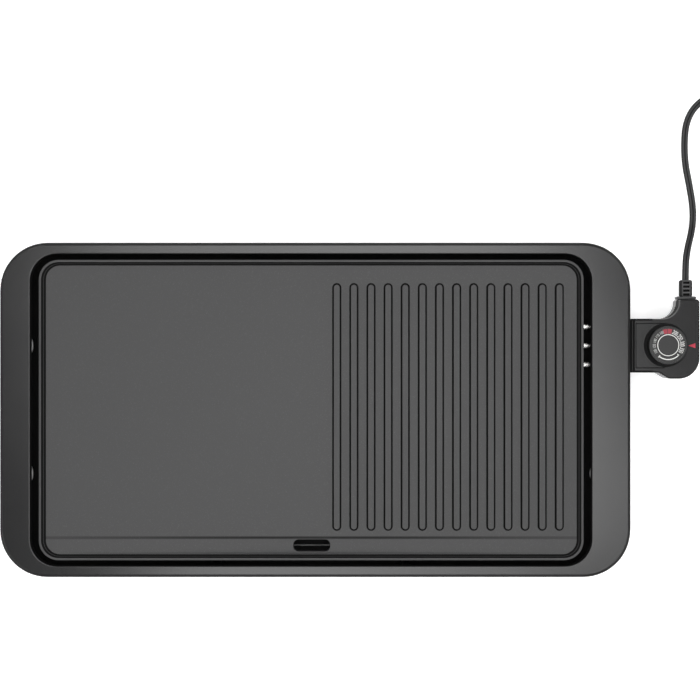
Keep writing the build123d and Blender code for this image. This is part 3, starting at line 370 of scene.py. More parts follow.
def control_plastic(colour):
    """The control's plastic, with painted shade on its edges, recess, panel border, collar and corner wall,
    and a painted highlight along the rounded edge in its corner.
    """
    finish = moulded_plastic(
        "control_plastic", colour, roughness=0.24, grain_size=0.0007, grain_depth=0.00005, gloss=0.36
    )
    x, y, z = finish.axis("X"), finish.axis("Y"), finish.axis("Z")
    depth = CONTROL_TOP - z
    panel_floor = (depth - PANEL_DEPTH).size().below(PANEL_MARGIN)
    inner_corner = x.below(CORNER_X) * x.above(NECK_END_X) * y.above(CORNER_Y)
    corner_wall = inner_corner * depth.above(CONTROL_ROUNDING) * depth.below(CONTROL_SPLIT)
    corner_highlight = inner_corner * depth.above(CORNER_LINE_DEPTH) * depth.below(CONTROL_ROUNDING)
    edge = finish.fade(depth, EDGE_START, EDGE_FULL) * (1 - finish.fade(depth, EDGE_FADES, EDGE_ENDS))
    edge = edge * (1 - panel_floor) * (1 - inner_corner)
    neck_edge = finish.fade(
        (y - CONTROL_Y).size(), NECK_HALF_WIDTH - NECK_EDGE_INNER, NECK_HALF_WIDTH - NECK_EDGE_OUTER
    )
    neck_edge = neck_edge * x.below(NECK_END_X) * depth.below(CONTROL_MARKS_DEPTH)
    off_x, off_y = x - DIAL_X, y - DIAL_Y
    from_dial = (off_x * off_x + off_y * off_y).power(0.5)
    recess = 1 - finish.fade(from_dial, RECESS_RADIUS - RECESS_BLUR, RECESS_RADIUS)
    recess = recess * depth.below(CONTROL_MARKS_DEPTH)
    border_x = (x - PANEL_X).size() - PANEL_LENGTH / 2
    border_y = (y - CONTROL_Y).size() - PANEL_WIDTH / 2
    border = 1 - finish.fade(border_x.at_least(border_y).size(), PANEL_BORDER_CORE, PANEL_BORDER)
    border = border * depth.below(CONTROL_MARKS_DEPTH) * x.below(DIAL_X)
    off_line = (x - COLLAR_LINE_X).size().above(COLLAR_LINE_HALF)
    collar = x.below(COLLAR_END_X) * depth.below(CONTROL_MARKS_DEPTH) * off_line
    # painted shade on the edges, the neck's sides, the recess round the dial, the panel border, the collar
    # and the corner wall
    dark = (edge.at_least(neck_edge) * 0.9).at_least(collar.at_least(recess) * 0.95).at_least(border * 0.85)
    dark = dark.at_least(corner_wall * 0.9)
    finish.shade(dark)
    # painted highlight along the rounded top edge of the inner corner
    finish.set(Base_Color=finish.blend(corner_highlight, rgba(colour), PAINTED_HIGHLIGHT))
    return finish.material


def dial_plastic():
    """The knob's plastic, with painted shade on its flank and skirt."""
    finish = moulded_plastic(
        "dial_plastic",
        (0.012, 0.012, 0.0122),
        roughness=0.30,
        grain_size=0.0006,
        grain_depth=0.00005,
        gloss=0.42,
    )
    flank = finish.fade(DIAL_Z - finish.axis("Z"), KNOB_FLANK_START, KNOB_FLANK_END)
    # painted shade on the flank and skirt below the knob's top
    finish.shade(flank * 0.8)
    return finish.material


def boot_pvc():
    """The strain relief's flexible moulding, with painted shade down in its slots and on its flanks."""
    finish = soft_polymer("boot_pvc", (0.040, 0.040, 0.041), 0.40)
    x, y, z = finish.axis("X"), finish.axis("Y"), finish.axis("Z")
    beside = (x - CORD_EXIT[0]).size()
    drop = (BOOT_ROOT[1] - BOOT_TIP[1]) / 2
    root_y = CORD_EXIT[1] - BOOT_LENGTH
    top = CORD_EXIT[2] + BOOT_ROOT[1] / 2 - (y - root_y) * (drop / BOOT_LENGTH)
    slot = beside.below(SLOT_REACH + WALL_MARGIN) * (top - z).above(SLOT_EDGE) * z.above(CORD_EXIT[2])
    flank = finish.fade(beside, SLOT_REACH + WALL_MARGIN, BOOT_FLANK) * y.above(root_y)
    # painted shade in the slots and on the flanks
    finish.shade((slot * 0.97).at_least(flank * 0.75))
    return finish.material


def cord_sheath():
    """Flat twin sheath with painted shade in the groove between the cores and on the outer edges, darker
    than the crowns.
    """
    finish = soft_polymer("cord_sheath", (0.021, 0.021, 0.022), 0.36)
    finish.set(Specular_IOR_Level=0.34)
    across = finish.node("ShaderNodeAttribute", {"attribute_name": "across"}, output="Fac").size()
    groove = 1 - finish.fade(across, 0.08, 0.26)
    flank = finish.fade(across, 0.66, 0.94)
    # painted shade in the groove and on the outer edges
    finish.shade((groove * 0.92).at_least(flank * 0.85))
    return finish.material


def nonstick_coating():
    """Sprayed matte coating: orange peel, a faint metallic fleck, and painted shade on the walls, along the
    rib feet and on the trough's step.
    """
    settings = bpy.context.scene.griddle_finish
    finish = Finish("nonstick_coating")
    peel = finish.noise(1400.0, 3.0, 0.55)
    patch = finish.noise(5.0, 3.0, 0.6)
    fleck = finish.node(
        "ShaderNodeTexVoronoi", {"feature": "F1"}, {"Vector": finish.place, "Scale": 1900.0}, "Color"
    )
    bright = finish.node("ShaderNodeSeparateColor", inputs={"Color": fleck}).above(0.95)
    tone = finish.blend(
        patch * 0.5 + peel * 0.3, rgba(settings.coating_colour, 0.94), rgba(settings.coating_colour, 1.06)
    )
    speckled = finish.blend(bright * 0.12, tone, rgba((0.20, 0.20, 0.205)))
    finish.set(Base_Color=speckled, Roughness=0.49 + patch * 0.06 - bright * 0.05, Metallic=bright * 0.2)
    finish.bump(peel, 0.22, 0.00010)

    x, y, z = finish.axis("X"), finish.axis("Y"), finish.axis("Z")
    # painted shade on the walls of the cooking area, not on the rib tops
    on_rib = z.above(RIB_TOP - WALL_MARGIN) * z.below(RIB_TOP + WALL_MARGIN)
    wall = z.above(FLOOR_TOP + WALL_MARGIN) * z.below(RIM_TOP - WALL_MARGIN) * (1 - on_rib)
    # painted shade along the foot of each rib
    place = (x - RIB_FIRST_X) / RIB_PITCH
    across = (place - place.whole().at_least(0.0)).size() * RIB_PITCH
    along = ((y - RIB_Y).size() - (RIB_LENGTH - RIB_WIDTH) / 2).at_least(0.0)
    from_rib = (across * across + along * along).power(0.5) - RIB_WIDTH / 2
    foot = from_rib.below(FOOT_SHADE_WIDTH) * from_rib.above(-FOOT_SHADE_WIDTH) * (1 - on_rib)
    foot = foot * x.above(RIB_FIRST_X - RIB_PITCH / 2) * x.below(RIB_FIRST_X + RIB_PITCH * (RIB_COUNT - 0.5))
    # painted shade on the step of the trough, fading towards its ends
    step = 1 - finish.fade((y - TROUGH_STEP_Y).size(), TROUGH_STEP_CORE, TROUGH_STEP)
    towards_ends = finish.fade((x - OPENING_X).size(), TROUGH_FADE_START, TROUGH_FADE_END)
    step = step * (1 - towards_ends * 0.5)
    step = step * z.below(FLOOR_TOP + WALL_MARGIN)
    # painted shade on the walls, the rib feet and the trough's step
    dark = (wall + foot + step * 0.72) * 0.94
    finish.shade(dark, roughness=0.85)
    return finish.material


def metal(name, colour, roughness, stretch=(1, 1, 1), scale=900.0, scratch=0.12, depth=0.00003):
    """Bright metal with drawn or rolled lines and handling marks."""
    finish = Finish(name)
    lines = finish.noise(scale, 3.0, 0.6, stretch)
    marks = finish.noise(60.0, 4.0, 0.65)
    tone = finish.blend(marks, rgba(colour, 0.82), rgba(colour, 1.0))
    finish.set(Base_Color=tone, Roughness=roughness + (lines * 0.6 + marks * 0.4) * scratch)
    finish.set(Metallic=1.0)
    finish.bump(lines, 0.25, depth)
    return finish.material


def soft_polymer(name, colour, roughness, grain=900.0, depth=0.00006):
    """Rubber, silicone or flexible cable sheath."""
    finish = Finish(name)
    fine = finish.noise(grain, 3.0, 0.6)
    bloom = finish.noise(45.0, 4.0, 0.65)
    tone = finish.blend(bloom, rgba(colour, 0.85), rgba(colour, 1.25))
    finish.set(Base_Color=tone, Roughness=roughness + bloom * 0.12)
    finish.bump(fine, 0.3, depth)
    return finish


def ceramic():
    """Unglazed steatite with small dark specks."""
    finish = Finish("steatite")
    speck = finish.noise(1500.0, 1.0, 0.5)
    body = finish.noise(120.0, 3.0, 0.6)
    tone = finish.blend(body, (0.74, 0.71, 0.64, 1), (0.86, 0.83, 0.77, 1))
    spotted = finish.blend(speck.above(0.68) * 0.5, tone, (0.42, 0.38, 0.33, 1))
    finish.set(Base_Color=spotted, Roughness=0.62 + body * 0.15)
    finish.bump(speck, 0.25, 0.00008)
    return finish.material


def red_lens():
    """Clear red moulding with a faint haze."""
    settings = bpy.context.scene.griddle_finish
    finish = Finish("red_lens")
    haze = finish.noise(420.0, 3.0, 0.6)
    tone = finish.blend(haze, rgba(settings.accent_colour, 0.85), rgba(settings.accent_colour, 1.15))
    finish.set(Base_Color=tone, Roughness=0.16 + haze * 0.1)
    finish.set(Coat_Weight=0.6)
    finish.bump(haze, 0.15, 0.00005)
    return finish.material


def lamp_glass():
    """Thin glass of the pilot lamp."""
    finish = Finish("lamp_glass")
    smoke = finish.noise(300.0, 3.0, 0.6)
    tone = finish.blend(smoke, (0.95, 0.70, 0.48, 1), (1.0, 0.84, 0.66, 1))
    finish.set(Base_Color=tone, Roughness=0.05 + smoke * 0.08, Alpha=0.45 + smoke * 0.1)
    return finish.material


def dial_ink(name, colour):
    """Pad-printed ink with slightly thin patches."""
    finish = Finish(name)
    thin = finish.noise(1600.0, 3.0, 0.6)
    tone = finish.blend(thin, rgba(colour, 0.78), rgba(colour, 1.05))
    finish.set(Base_Color=tone, Roughness=0.45 + thin * 0.15)
    finish.bump(thin, 0.2, 0.00003)
    return finish.material


# ------------------------------------------------------------------ small helpers


def clear_selection():
    if bpy.context.object and bpy.context.object.mode != "OBJECT":
        bpy.ops.object.mode_set(mode="OBJECT")
    bpy.ops.object.select_all(action="DESELECT")


def keep_only(piece):
    clear_selection()
    piece.select_set(True)
    bpy.context.view_layer.objects.active = piece


def settle(piece, name, material, body):
    """Put a piece's place into its mesh, then name it, finish it and hang it on its body."""
    keep_only(piece)
    bpy.ops.object.transform_apply(location=True, rotation=True, scale=True)
    piece.name = name
    piece.data.name = name
    piece.data.materials.clear()
    piece.data.materials.append(material)
    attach(piece, body)
    return piece


def recalculate(piece):
    """Merge doubles and turn the faces outward."""
    keep_only(piece)
    bpy.ops.object.mode_set(mode="EDIT")
    bpy.ops.mesh.select_all(action="SELECT")
    bpy.ops.mesh.remove_doubles(threshold=0.000002)
    bpy.ops.mesh.normals_make_consistent(inside=False)
    bpy.ops.object.mode_set(mode="OBJECT")


def join(pieces):
    clear_selection()
    for piece in pieces:
        piece.select_set(True)
    bpy.context.view_layer.objects.active = pieces[0]
    bpy.ops.object.join()
    return pieces[0]


def select_faces(piece, test):
    """Select the faces of a piece in edit mode whose middle and normal pass a test."""
    mesh = bmesh.from_edit_mesh(piece.data)
    for face in mesh.faces:
        face.select_set(bool(test(face.calc_center_median(), face.normal)))
    bmesh.update_edit_mesh(piece.data)


def cut(piece, place, normal):
    """Cut a piece in edit mode right across with a plane."""
    bpy.ops.mesh.select_all(action="SELECT")
    bpy.ops.mesh.bisect(plane_co=place, plane_no=normal)


def add_block(size, middle):
    bpy.ops.object.select_all(action="DESELECT")
    bpy.ops.mesh.primitive_cube_add(size=1.0, location=middle)
    block = bpy.context.object
    block.scale = size
    bpy.ops.object.transform_apply(location=True, rotation=True, scale=True)
    return block


def round_edges(piece, width, segments, angle):
    keep_only(piece)
    bevel = piece.modifiers.new("rounding", "BEVEL")
    bevel.width = width
    bevel.segments = segments
    bevel.limit_method = "ANGLE"
    bevel.angle_limit = math.radians(angle)
    bpy.ops.object.modifier_apply(modifier="rounding")


def coat_node(node, material):
    """Give a CAD node its finish."""
    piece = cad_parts[node]
    if not piece.material_slots:
        piece.data.materials.append(material)
    for place in piece.material_slots:
        place.material = material


# ------------------------------------------------------------------ finishes of the CAD nodes


class GRIDDLE_OT_finishes(bpy.types.Operator):
    """Coat every carried-over node with its material"""

    bl_idname = "griddle.finishes"
    bl_label = "Coat the parts"

    def execute(self, context):
        settings = context.scene.griddle_finish
        housing = housing_plastic(settings.housing_colour)
        inner = moulded_plastic(
            "inner_plastic",
            (0.011, 0.011, 0.011),
            roughness=0.75,
            grain_size=0.0010,
            grain_depth=0.00008,
            gloss=0.08,
        ).material
        control = control_plastic(settings.control_colour)
        dial = dial_plastic()
        coating = nonstick_coating()
        steel = metal("zinc_steel", (0.60, 0.60, 0.58), 0.30, (1, 1, 6), 700.0)
        nickel = metal("bright_nickel", (0.92, 0.91, 0.89), 0.20, (0.2, 1, 1), 1500.0, 0.10, 0.00001)
        sheath = metal("element_sheath", (0.22, 0.20, 0.19), 0.42, (1, 1, 1), 800.0, 0.2)
        sheet = metal("aluminium_sheet", (0.80, 0.80, 0.81), 0.28, (0.05, 1, 1), 1200.0, 0.15)
        brass = metal("bare_brass", (0.76, 0.58, 0.28), 0.25, (0.2, 1, 1), 1200.0)
        rubber = soft_polymer("foot_rubber", (0.022, 0.022, 0.022), 0.62).material
        silicone = soft_polymer("grey_silicone", (0.34, 0.34, 0.34), 0.50).material
        sheath_pvc = soft_polymer("cord_pvc", (0.020, 0.020, 0.021), 0.36).material
        coats = {
            housing: ("base_frame", "tray_front"),
            inner: ("base_pan", "tray_rail_left", "tray_rail_right", "socket_shroud", "drip_tray"),
            control: ("control_top_shell", "control_bottom_shell", "control_nose"),
            dial: ("dial_knob", "dial_plate"),
            coating: ("griddle_plate",),
            steel: (
                "base_screws",
                "plate_screws",
                "control_screws",
                "thermostat_frame",
                "dial_shaft",
                "dial_clip",
            ),
            nickel: ("rear_pin", "front_pin", "probe_guide", "probe_stem", "plug_blades"),
            sheath: ("heating_element",),
            sheet: ("heat_shield",),
            brass: ("terminal_sleeves", "fixed_contact_arm", "moving_contact_arm", "contact_points"),
            rubber: ("foot_front_left", "foot_front_right", "foot_rear_left", "foot_rear_right"),
            silicone: ("plate_bumpers",),
            sheath_pvc: ("strain_relief", "cord_leads", "plug_body", "cord_tie"),
            ceramic(): ("insulating_washers", "pin_insulators", "insulating_stack", "transfer_pin"),
            red_lens(): ("pointer_lens",),
            lamp_glass(): ("pilot_lamp",),
        }
        for material, nodes in coats.items():
            for node in nodes:
                coat_node(node, material)
        return {"FINISHED"}


# ------------------------------------------------------------------ cord

CORD_EXIT = (0.3578, 0.1376, 0.0330)
FLOOR_Z = 0.00205
CORD_ROUTE = [
    CORD_EXIT,
    (0.3579, 0.1505, 0.0327), (0.3594, 0.1630, 0.0292), (0.3632, 0.1755, 0.0214),
    (0.3682, 0.1880, 0.0120), (0.3718, 0.2020, 0.0048), (0.3722, 0.2190, FLOOR_Z),
    (0.3686, 0.2410, FLOOR_Z), (0.3636, 0.2660, FLOOR_Z), (0.3630, 0.2880, FLOOR_Z),
    (0.3642, 0.3060, FLOOR_Z), (0.3700, 0.3215, FLOOR_Z), (0.3810, 0.3335, FLOOR_Z),
    (0.3960, 0.3410, FLOOR_Z), (0.4115, 0.3434, FLOOR_Z), (0.4250, 0.3426, FLOOR_Z),
]
TAIL_ROUTE = [
    (0.4780, 0.2960, 0.0112), (0.4792, 0.2860, 0.0104),
    (0.4788, 0.2760, 0.0088), (0.4785, 0.2655, 0.0078),
]
TURN_WANDER = 0.0007
LOBE_ANGLE, WEB_SHARE = 118, 0.74
COIL_CENTRE = (0.4370, 0.3010)
POINTS_PER_TURN = 16
LAYER_HEIGHT = 0.0042


def coil_points(radius, turns):
    """Turns laid on each other, wound clockwise from the side nearest the back."""
    count = round(turns * POINTS_PER_TURN)
    points = []
    for step in range(1, count):
        turned = step / POINTS_PER_TURN
        angle = TAU * (0.25 - turned)
        reach = radius + TURN_WANDER * math.sin(5.1 * turned + 0.6)
        points.append(
            (
                COIL_CENTRE[0] + reach * math.cos(angle),
                COIL_CENTRE[1] + reach * math.sin(angle),
                FLOOR_Z + LAYER_HEIGHT * turned,
            )
        )
    return points


def follow_spline(points, resolution=6):
    """Points along a smooth line with the given control points."""
    curve = bpy.data.curves.new("cord_line", "CURVE")
    curve.dimensions = "3D"
    curve.resolution_u = resolution
    spline = curve.splines.new("NURBS")
    spline.points.add(len(points) - 1)
    for knot, point in zip(spline.points, points):
        knot.co = (*point, 1.0)
    spline.order_u = 3
    spline.use_endpoint_u = True
    holder = bpy.data.objects.new("cord_line", curve)
    bpy.context.scene.collection.objects.link(holder)
    bpy.context.view_layer.update()
    line = bpy.data.meshes.new_from_object(holder)
    path = [vertex.co.copy() for vertex in line.vertices]
    bpy.data.objects.remove(holder)
    bpy.data.curves.remove(curve)
    bpy.data.meshes.remove(line)
    return path


def twin_profile(width, thickness, steps=11):
    """Outline of flat twin flex: two round cores with a web between them."""
    radius = thickness / 2
    offset = width / 2 - radius
    lobe = []
    for step in range(steps):
        angle = math.radians(-LOBE_ANGLE + 2 * LOBE_ANGLE * step / (steps - 1))
        lobe.append((offset + radius * math.cos(angle), radius * math.sin(angle)))
    web = WEB_SHARE * radius
    right = [(0.0, -web), *lobe, (0.0, web)]
    left = [(-x, y) for x, y in reversed(lobe)]
    return right + left


def sweep_profile(name, path, profile):
    """Mesh tube with a level profile along a path, closed at both ends."""
    mesh = bpy.data.meshes.new(name)
    tube = bmesh.new()
    rings = []
    up = Vector((0, 0, 1))
    for place, point in enumerate(path):
        ahead = path[min(place + 1, len(path) - 1)] - path[max(place - 1, 0)]
        side = ahead.cross(up).normalized()
        lift = side.cross(ahead).normalized()
        rings.append([tube.verts.new(point + side * x + lift * y) for x, y in profile])
    count = len(profile)
    for ring, following in zip(rings, rings[1:]):
        for corner in range(count):
            beside = (corner + 1) % count
            tube.faces.new((ring[corner], ring[beside], following[beside], following[corner]))
    tube.faces.new(reversed(rings[0]))
    tube.faces.new(rings[-1])
    tube.normal_update()
    tube.to_mesh(mesh)
    tube.free()
    half_width = max(x for x, y in profile)
    across = mesh.attributes.new("across", "FLOAT", "POINT")
    for place, vertex in enumerate(across.data):
        vertex.value = profile[place % count][0] / half_width
    piece = bpy.data.objects.new(name, mesh)
    bpy.context.scene.collection.objects.link(piece)
    return piece


class GRIDDLE_OT_cord(bpy.types.Operator):
    """Lay the flat twin cord from the control to its plug, with the spare length in a coil"""

    bl_idname = "griddle.cord"
    bl_label = "Lay the cord"

    def execute(self, context):
        settings = context.scene.griddle_cord
        route = CORD_ROUTE + coil_points(settings.coil_radius, settings.coil_turns) + TAIL_ROUTE
        path = follow_spline(route)
        profile = twin_profile(settings.width, settings.thickness)
        cord = sweep_profile("flat_cord", path, profile)
        recalculate(cord)
        bpy.ops.object.shade_smooth_by_angle(angle=math.radians(60))
        settle(cord, "flat_cord", cord_sheath(), "control")
        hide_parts("power_cord", "cord_coil", "cord_tail")
        return {"FINISHED"}


# ------------------------------------------------------------------ tray bead

BEAD_SIZE = (0.150, 0.0018, 0.0012)
BEAD_Y = -0.1472
TRAY_WALL = 0.0015
BEAD_TAPER = (0.99, 0.5, 1.0)


class GRIDDLE_OT_tray_bead(bpy.types.Operator):
    """Raise the stiffening bead along the floor of the drip tray, under the drain"""

    bl_idname = "griddle.tray_bead"
    bl_label = "Raise the tray's bead"

    def execute(self, context):
        clear_selection()
        low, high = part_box("drip_tray")
        middle = ((low.x + high.x) / 2, BEAD_Y, low.z + TRAY_WALL + BEAD_SIZE[2] / 2)
        bead = add_block(BEAD_SIZE, middle)
        bpy.ops.object.mode_set(mode="EDIT")
        select_faces(bead, lambda place, normal: normal.z > 0.9)
        bpy.ops.transform.resize(value=BEAD_TAPER, center_override=middle)
        bpy.ops.object.mode_set(mode="OBJECT")
        round_edges(bead, width=0.0002, segments=2, angle=20)
        recalculate(bead)
        # the bead is real, but its pale grey colour is a painted highlight along the tray's floor
        finish = moulded_plastic(
            "bead_highlight_plastic", (0.22, 0.22, 0.22), roughness=0.35, grain_size=0.0006, grain_depth=0.00004
        )
        settle(bead, "tray_bead", finish.material, "tray")
        return {"FINISHED"}


# ------------------------------------------------------------------ strain relief

FLANGE_SIZE = (0.0200, 0.0031, 0.0150)
BOOT_ROOT = (0.0132, 0.0104)
BOOT_TIP = (0.0106, 0.0076)
BOOT_LENGTH, BOOT_GAP = 0.0182, 0.0002
TONGUE_WIDTH, TONGUE_HEIGHT = 0.0082, 0.0062
SLOT_END = 0.0030
SLOT_COUNT, SLOT_PITCH, SLOT_WIDTH, SLOT_REACH, SLOT_DEPTH = 4, 0.0042, 0.0026, 0.0036, 0.0021


class GRIDDLE_OT_strain_relief(bpy.types.Operator):
    """Mould the boot where the cord leaves the control, with its flexing slots"""

    bl_idname = "griddle.strain_relief"
    bl_label = "Mould the strain relief"

    def execute(self, context):
        clear_selection()
        low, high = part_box("strain_relief")
        shell_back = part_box("control_top_shell")[1].y
        x, z = CORD_EXIT[0], CORD_EXIT[2]
        flange = add_block(FLANGE_SIZE, (x, shell_back + BOOT_GAP + FLANGE_SIZE[1] / 2, z))
        round_edges(flange, width=0.0009, segments=3, angle=40)

        root_y, tip_y = high.y - BOOT_LENGTH, high.y
        boot = add_block((BOOT_ROOT[0], tip_y - root_y, BOOT_ROOT[1]), (x, (root_y + tip_y) / 2, z))
        bpy.ops.object.mode_set(mode="EDIT")
        select_faces(boot, lambda middle, normal: normal.y > 0.9)
        taper = (BOOT_TIP[0] / BOOT_ROOT[0], 1.0, BOOT_TIP[1] / BOOT_ROOT[1])
        bpy.ops.transform.resize(value=taper, center_override=(x, tip_y, z))
        bpy.ops.object.mode_set(mode="OBJECT")
        round_edges(boot, width=0.0021, segments=4, angle=40)
        bpy.ops.object.mode_set(mode="EDIT")
        first = tip_y - SLOT_END - SLOT_PITCH * (SLOT_COUNT - 1)
        slots = [first + SLOT_PITCH * step for step in range(SLOT_COUNT)]
        for slot_y in slots:
            cut(boot, (x, slot_y - SLOT_WIDTH / 2, z), (0, 1, 0))
            cut(boot, (x, slot_y + SLOT_WIDTH / 2, z), (0, 1, 0))
        for side in (-1, 1):
            cut(boot, (x + side * SLOT_REACH, tip_y, z), (1, 0, 0))
        for face_up in (1, -1):
            select_faces(
                boot,
                lambda middle, normal: normal.z * face_up > 0.8
                and abs(middle.x - x) < SLOT_REACH
                and any(abs(middle.y - slot_y) < SLOT_WIDTH / 2 for slot_y in slots),
            )
            bpy.ops.mesh.extrude_region_move(
                TRANSFORM_OT_translate={"value": (0, 0, -face_up * SLOT_DEPTH)}
            )
        bpy.ops.object.mode_set(mode="OBJECT")
        tongue_size = (TONGUE_WIDTH, shell_back - low.y + 2 * BOOT_GAP, TONGUE_HEIGHT)
        tongue = add_block(tongue_size, (x, (low.y + shell_back) / 2 + BOOT_GAP, z))
        round_edges(tongue, width=0.0008, segments=2, angle=40)
        relief = join([boot, flange, tongue])
        recalculate(relief)
        bpy.ops.object.shade_smooth_by_angle(angle=math.radians(35))
        settle(relief, "cord_strain_relief", boot_pvc(), "control")
        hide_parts("strain_relief")
        return {"FINISHED"}


# ------------------------------------------------------------------ dial print

INK_THICKNESS = 0.00008
CAPITAL_SHARE = 1.38
INK_SPREAD = 0.0001
NUMBERS = (("200", 60.5), ("250", 33.4), ("300", 5.7), ("350", -20.9))
LOW_NUMBERS = (("180", 118), ("160", 140), ("140", 162), ("120", 184), ("100", 206))
NUMBER_NARROWING, LOW_NARROWING, LOW_SHARE = 0.60, 0.72, 0.66
RING_WIDTH, RING_STEPS = 0.0007, 96
ARC_START, ARC_END, ARC_WIDTH, ARC_STEPS = 229, 318, 0.0010, 40
TICK_SWEEP, TICK_STEPS, FIRST_TICK, LAST_TICK = 4, 4, (0.0008, 0.0018), 0.0013
BAR_STARTS, BAR_SWEEP, BAR_STEPS, BAR_INNER, BAR_OUTER = (76, 94), 16, 8, 0.48, 0.54


def polar(angle, radius):
    turn = math.radians(angle)
    return DIAL_X + radius * math.cos(turn), DIAL_Y + radius * math.sin(turn)


def printed_number(text, angle, radius, height, narrow):
    """Flat number whose top points away from the dial's middle."""
    x, y = polar(angle, radius)
    bpy.ops.object.text_add(location=(x, y, DIAL_Z), rotation=(0, 0, math.radians(angle - 90)))
    number = bpy.context.object
    number.data.body = text
    number.data.size = height * CAPITAL_SHARE
    number.data.align_x = "CENTER"
    number.data.align_y = "CENTER"
    number.data.extrude = INK_THICKNESS / 2
    number.data.offset = INK_SPREAD
    number.scale = (narrow, 1.0, 1.0)
    bpy.ops.object.convert(target="MESH")
    return bpy.context.object


def printed_arc(start, end, inner, outer, steps):
    """Flat band of ink along part of a circle, spun from one short edge."""
    width = outer - inner
    turn = math.radians(start)
    sideways = Vector((-math.sin(turn), math.cos(turn), 0))
    x, y = polar(start, (inner + outer) / 2)
    middle = Vector((x, y, DIAL_Z)) + sideways * (width / 2)
    bpy.ops.object.select_all(action="DESELECT")
    bpy.ops.mesh.primitive_plane_add(size=width, location=middle, rotation=(0, 0, turn))
    arc = bpy.context.object
    bpy.ops.object.transform_apply(location=True, rotation=True, scale=True)
    bpy.ops.object.mode_set(mode="EDIT")
    bpy.ops.mesh.select_all(action="SELECT")
    bpy.ops.mesh.delete(type="ONLY_FACE")
    mesh = bmesh.from_edit_mesh(arc.data)
    for vertex in mesh.verts:
        vertex.select_set((vertex.co - middle).dot(sideways) > 0)
    mesh.select_flush_mode()
    bmesh.update_edit_mesh(arc.data)
    bpy.ops.mesh.delete(type="VERT")
    bpy.ops.mesh.select_all(action="SELECT")
    bpy.ops.mesh.spin(
        steps=steps, angle=math.radians(start - end), center=(DIAL_X, DIAL_Y, DIAL_Z), axis=(0, 0, 1)
    )
    bpy.ops.mesh.select_all(action="SELECT")
    bpy.ops.mesh.remove_doubles(threshold=0.000002)
    bpy.ops.mesh.extrude_region_move(TRANSFORM_OT_translate={"value": (0, 0, INK_THICKNESS / 2)})
    bpy.ops.mesh.select_all(action="SELECT")
    bpy.ops.mesh.normals_make_consistent(inside=False)
    bpy.ops.object.mode_set(mode="OBJECT")
    return arc


class GRIDDLE_OT_dial_print(bpy.types.Operator):
    """Print the dial's numbers, ring, arc and red mark"""

    bl_idname = "griddle.dial_print"
    bl_label = "Print the dial"

    def execute(self, context):
        sizes = context.scene.griddle_dial
        colours = context.scene.griddle_finish
        clear_selection()
        radius, height = sizes.print_radius, sizes.number_height
        ring = [
            printed_arc(0, 360, sizes.ring_radius - RING_WIDTH, sizes.ring_radius, RING_STEPS),
            printed_arc(ARC_START, ARC_END, radius, radius + ARC_WIDTH, ARC_STEPS),
            printed_arc(
                ARC_START, ARC_START + TICK_SWEEP, radius - FIRST_TICK[0], radius + FIRST_TICK[1], TICK_STEPS
            ),
            printed_arc(
                ARC_END - TICK_SWEEP, ARC_END, radius - LAST_TICK, radius + ARC_WIDTH, TICK_STEPS
            ),
        ]
        numbers = [
            printed_number(text, angle, radius, height, NUMBER_NARROWING) for text, angle in NUMBERS
        ]
        low_numbers = [
            printed_number(text, angle, radius, height * LOW_SHARE, LOW_NARROWING)
            for text, angle in LOW_NUMBERS
        ]
        bars = [
            printed_arc(
                start, start + BAR_SWEEP, radius - height * BAR_INNER, radius + height * BAR_OUTER, BAR_STEPS
            )
            for start in BAR_STARTS
        ]
        inks = (
            ("dial_ring", ring, colours.print_colour, 1.0),
            ("dial_numbers", numbers, colours.print_colour, 0.72),
            ("dial_low_numbers", low_numbers, colours.print_colour, 0.42),
            ("dial_red_mark", bars, colours.accent_colour, 0.66),
        )
        for name, marks, colour, share in inks:
            ink = dial_ink(f"{name}_ink", rgba(colour, share))
            settle(join(marks), name, ink, "dial")
        return {"FINISHED"}


# ------------------------------------------------------------------ stage

FLOOR_DROP = 0.0002
GLOW_NEAR, GLOW_FAR = 1.5, 4.0
HORIZON, SKY, HORIZON_STRENGTH, SKY_STRENGTH = 0.08, 0.30, 1.0, 0.22
TOP_PANEL, TOP_TARGET = (0.02, -0.05, 2.4), (0.02, -0.05, 0.0)
SIDE_PANELS, SIDE_REACH, SIDE_HEIGHT = 6, 2.1, 2.2

def soft_light(name, place, target, size, brightness, turned=0.0):
    """Rectangular panel of a given brightness, facing its target and turned about its own axis."""
    lamp = bpy.data.lights.new(name, "AREA")
    lamp.shape = "RECTANGLE"
    lamp.size, lamp.size_y = size
    lamp.energy = brightness * math.pi * size[0] * size[1]
    holder = bpy.data.objects.new(name, lamp)
    aim = (Vector(target) - Vector(place)).to_track_quat("-Z", "Y")
    holder.rotation_euler = (aim @ Quaternion((0, 0, 1), math.radians(turned))).to_euler()
    holder.location = place
    holder.visible_camera = False
    bpy.context.scene.collection.objects.link(holder)


def studio_world():
    """Pale surroundings, bright along the horizon and dimmer overhead."""
    world = bpy.data.worlds.new("studio")
    world.use_nodes = True
    tree = world.node_tree
    direction = tree.nodes.new("ShaderNodeTexCoord")
    height = tree.nodes.new("ShaderNodeSeparateXYZ")
    glow = tree.nodes.new("ShaderNodeMapRange")
    glow.interpolation_type = "SMOOTHSTEP"
    span = {
        "From Min": HORIZON, "From Max": SKY, "To Min": HORIZON_STRENGTH, "To Max": SKY_STRENGTH
    }
    for name, value in span.items():
        glow.inputs[name].default_value = value
    background = tree.nodes["Background"]
    background.inputs["Color"].default_value = (1.0, 1.0, 1.0, 1.0)
    tree.links.new(direction.outputs["Generated"], height.inputs[0])
    tree.links.new(height.outputs["Z"], glow.inputs["Value"])
    tree.links.new(glow.outputs[0], background.inputs["Strength"])
    return world


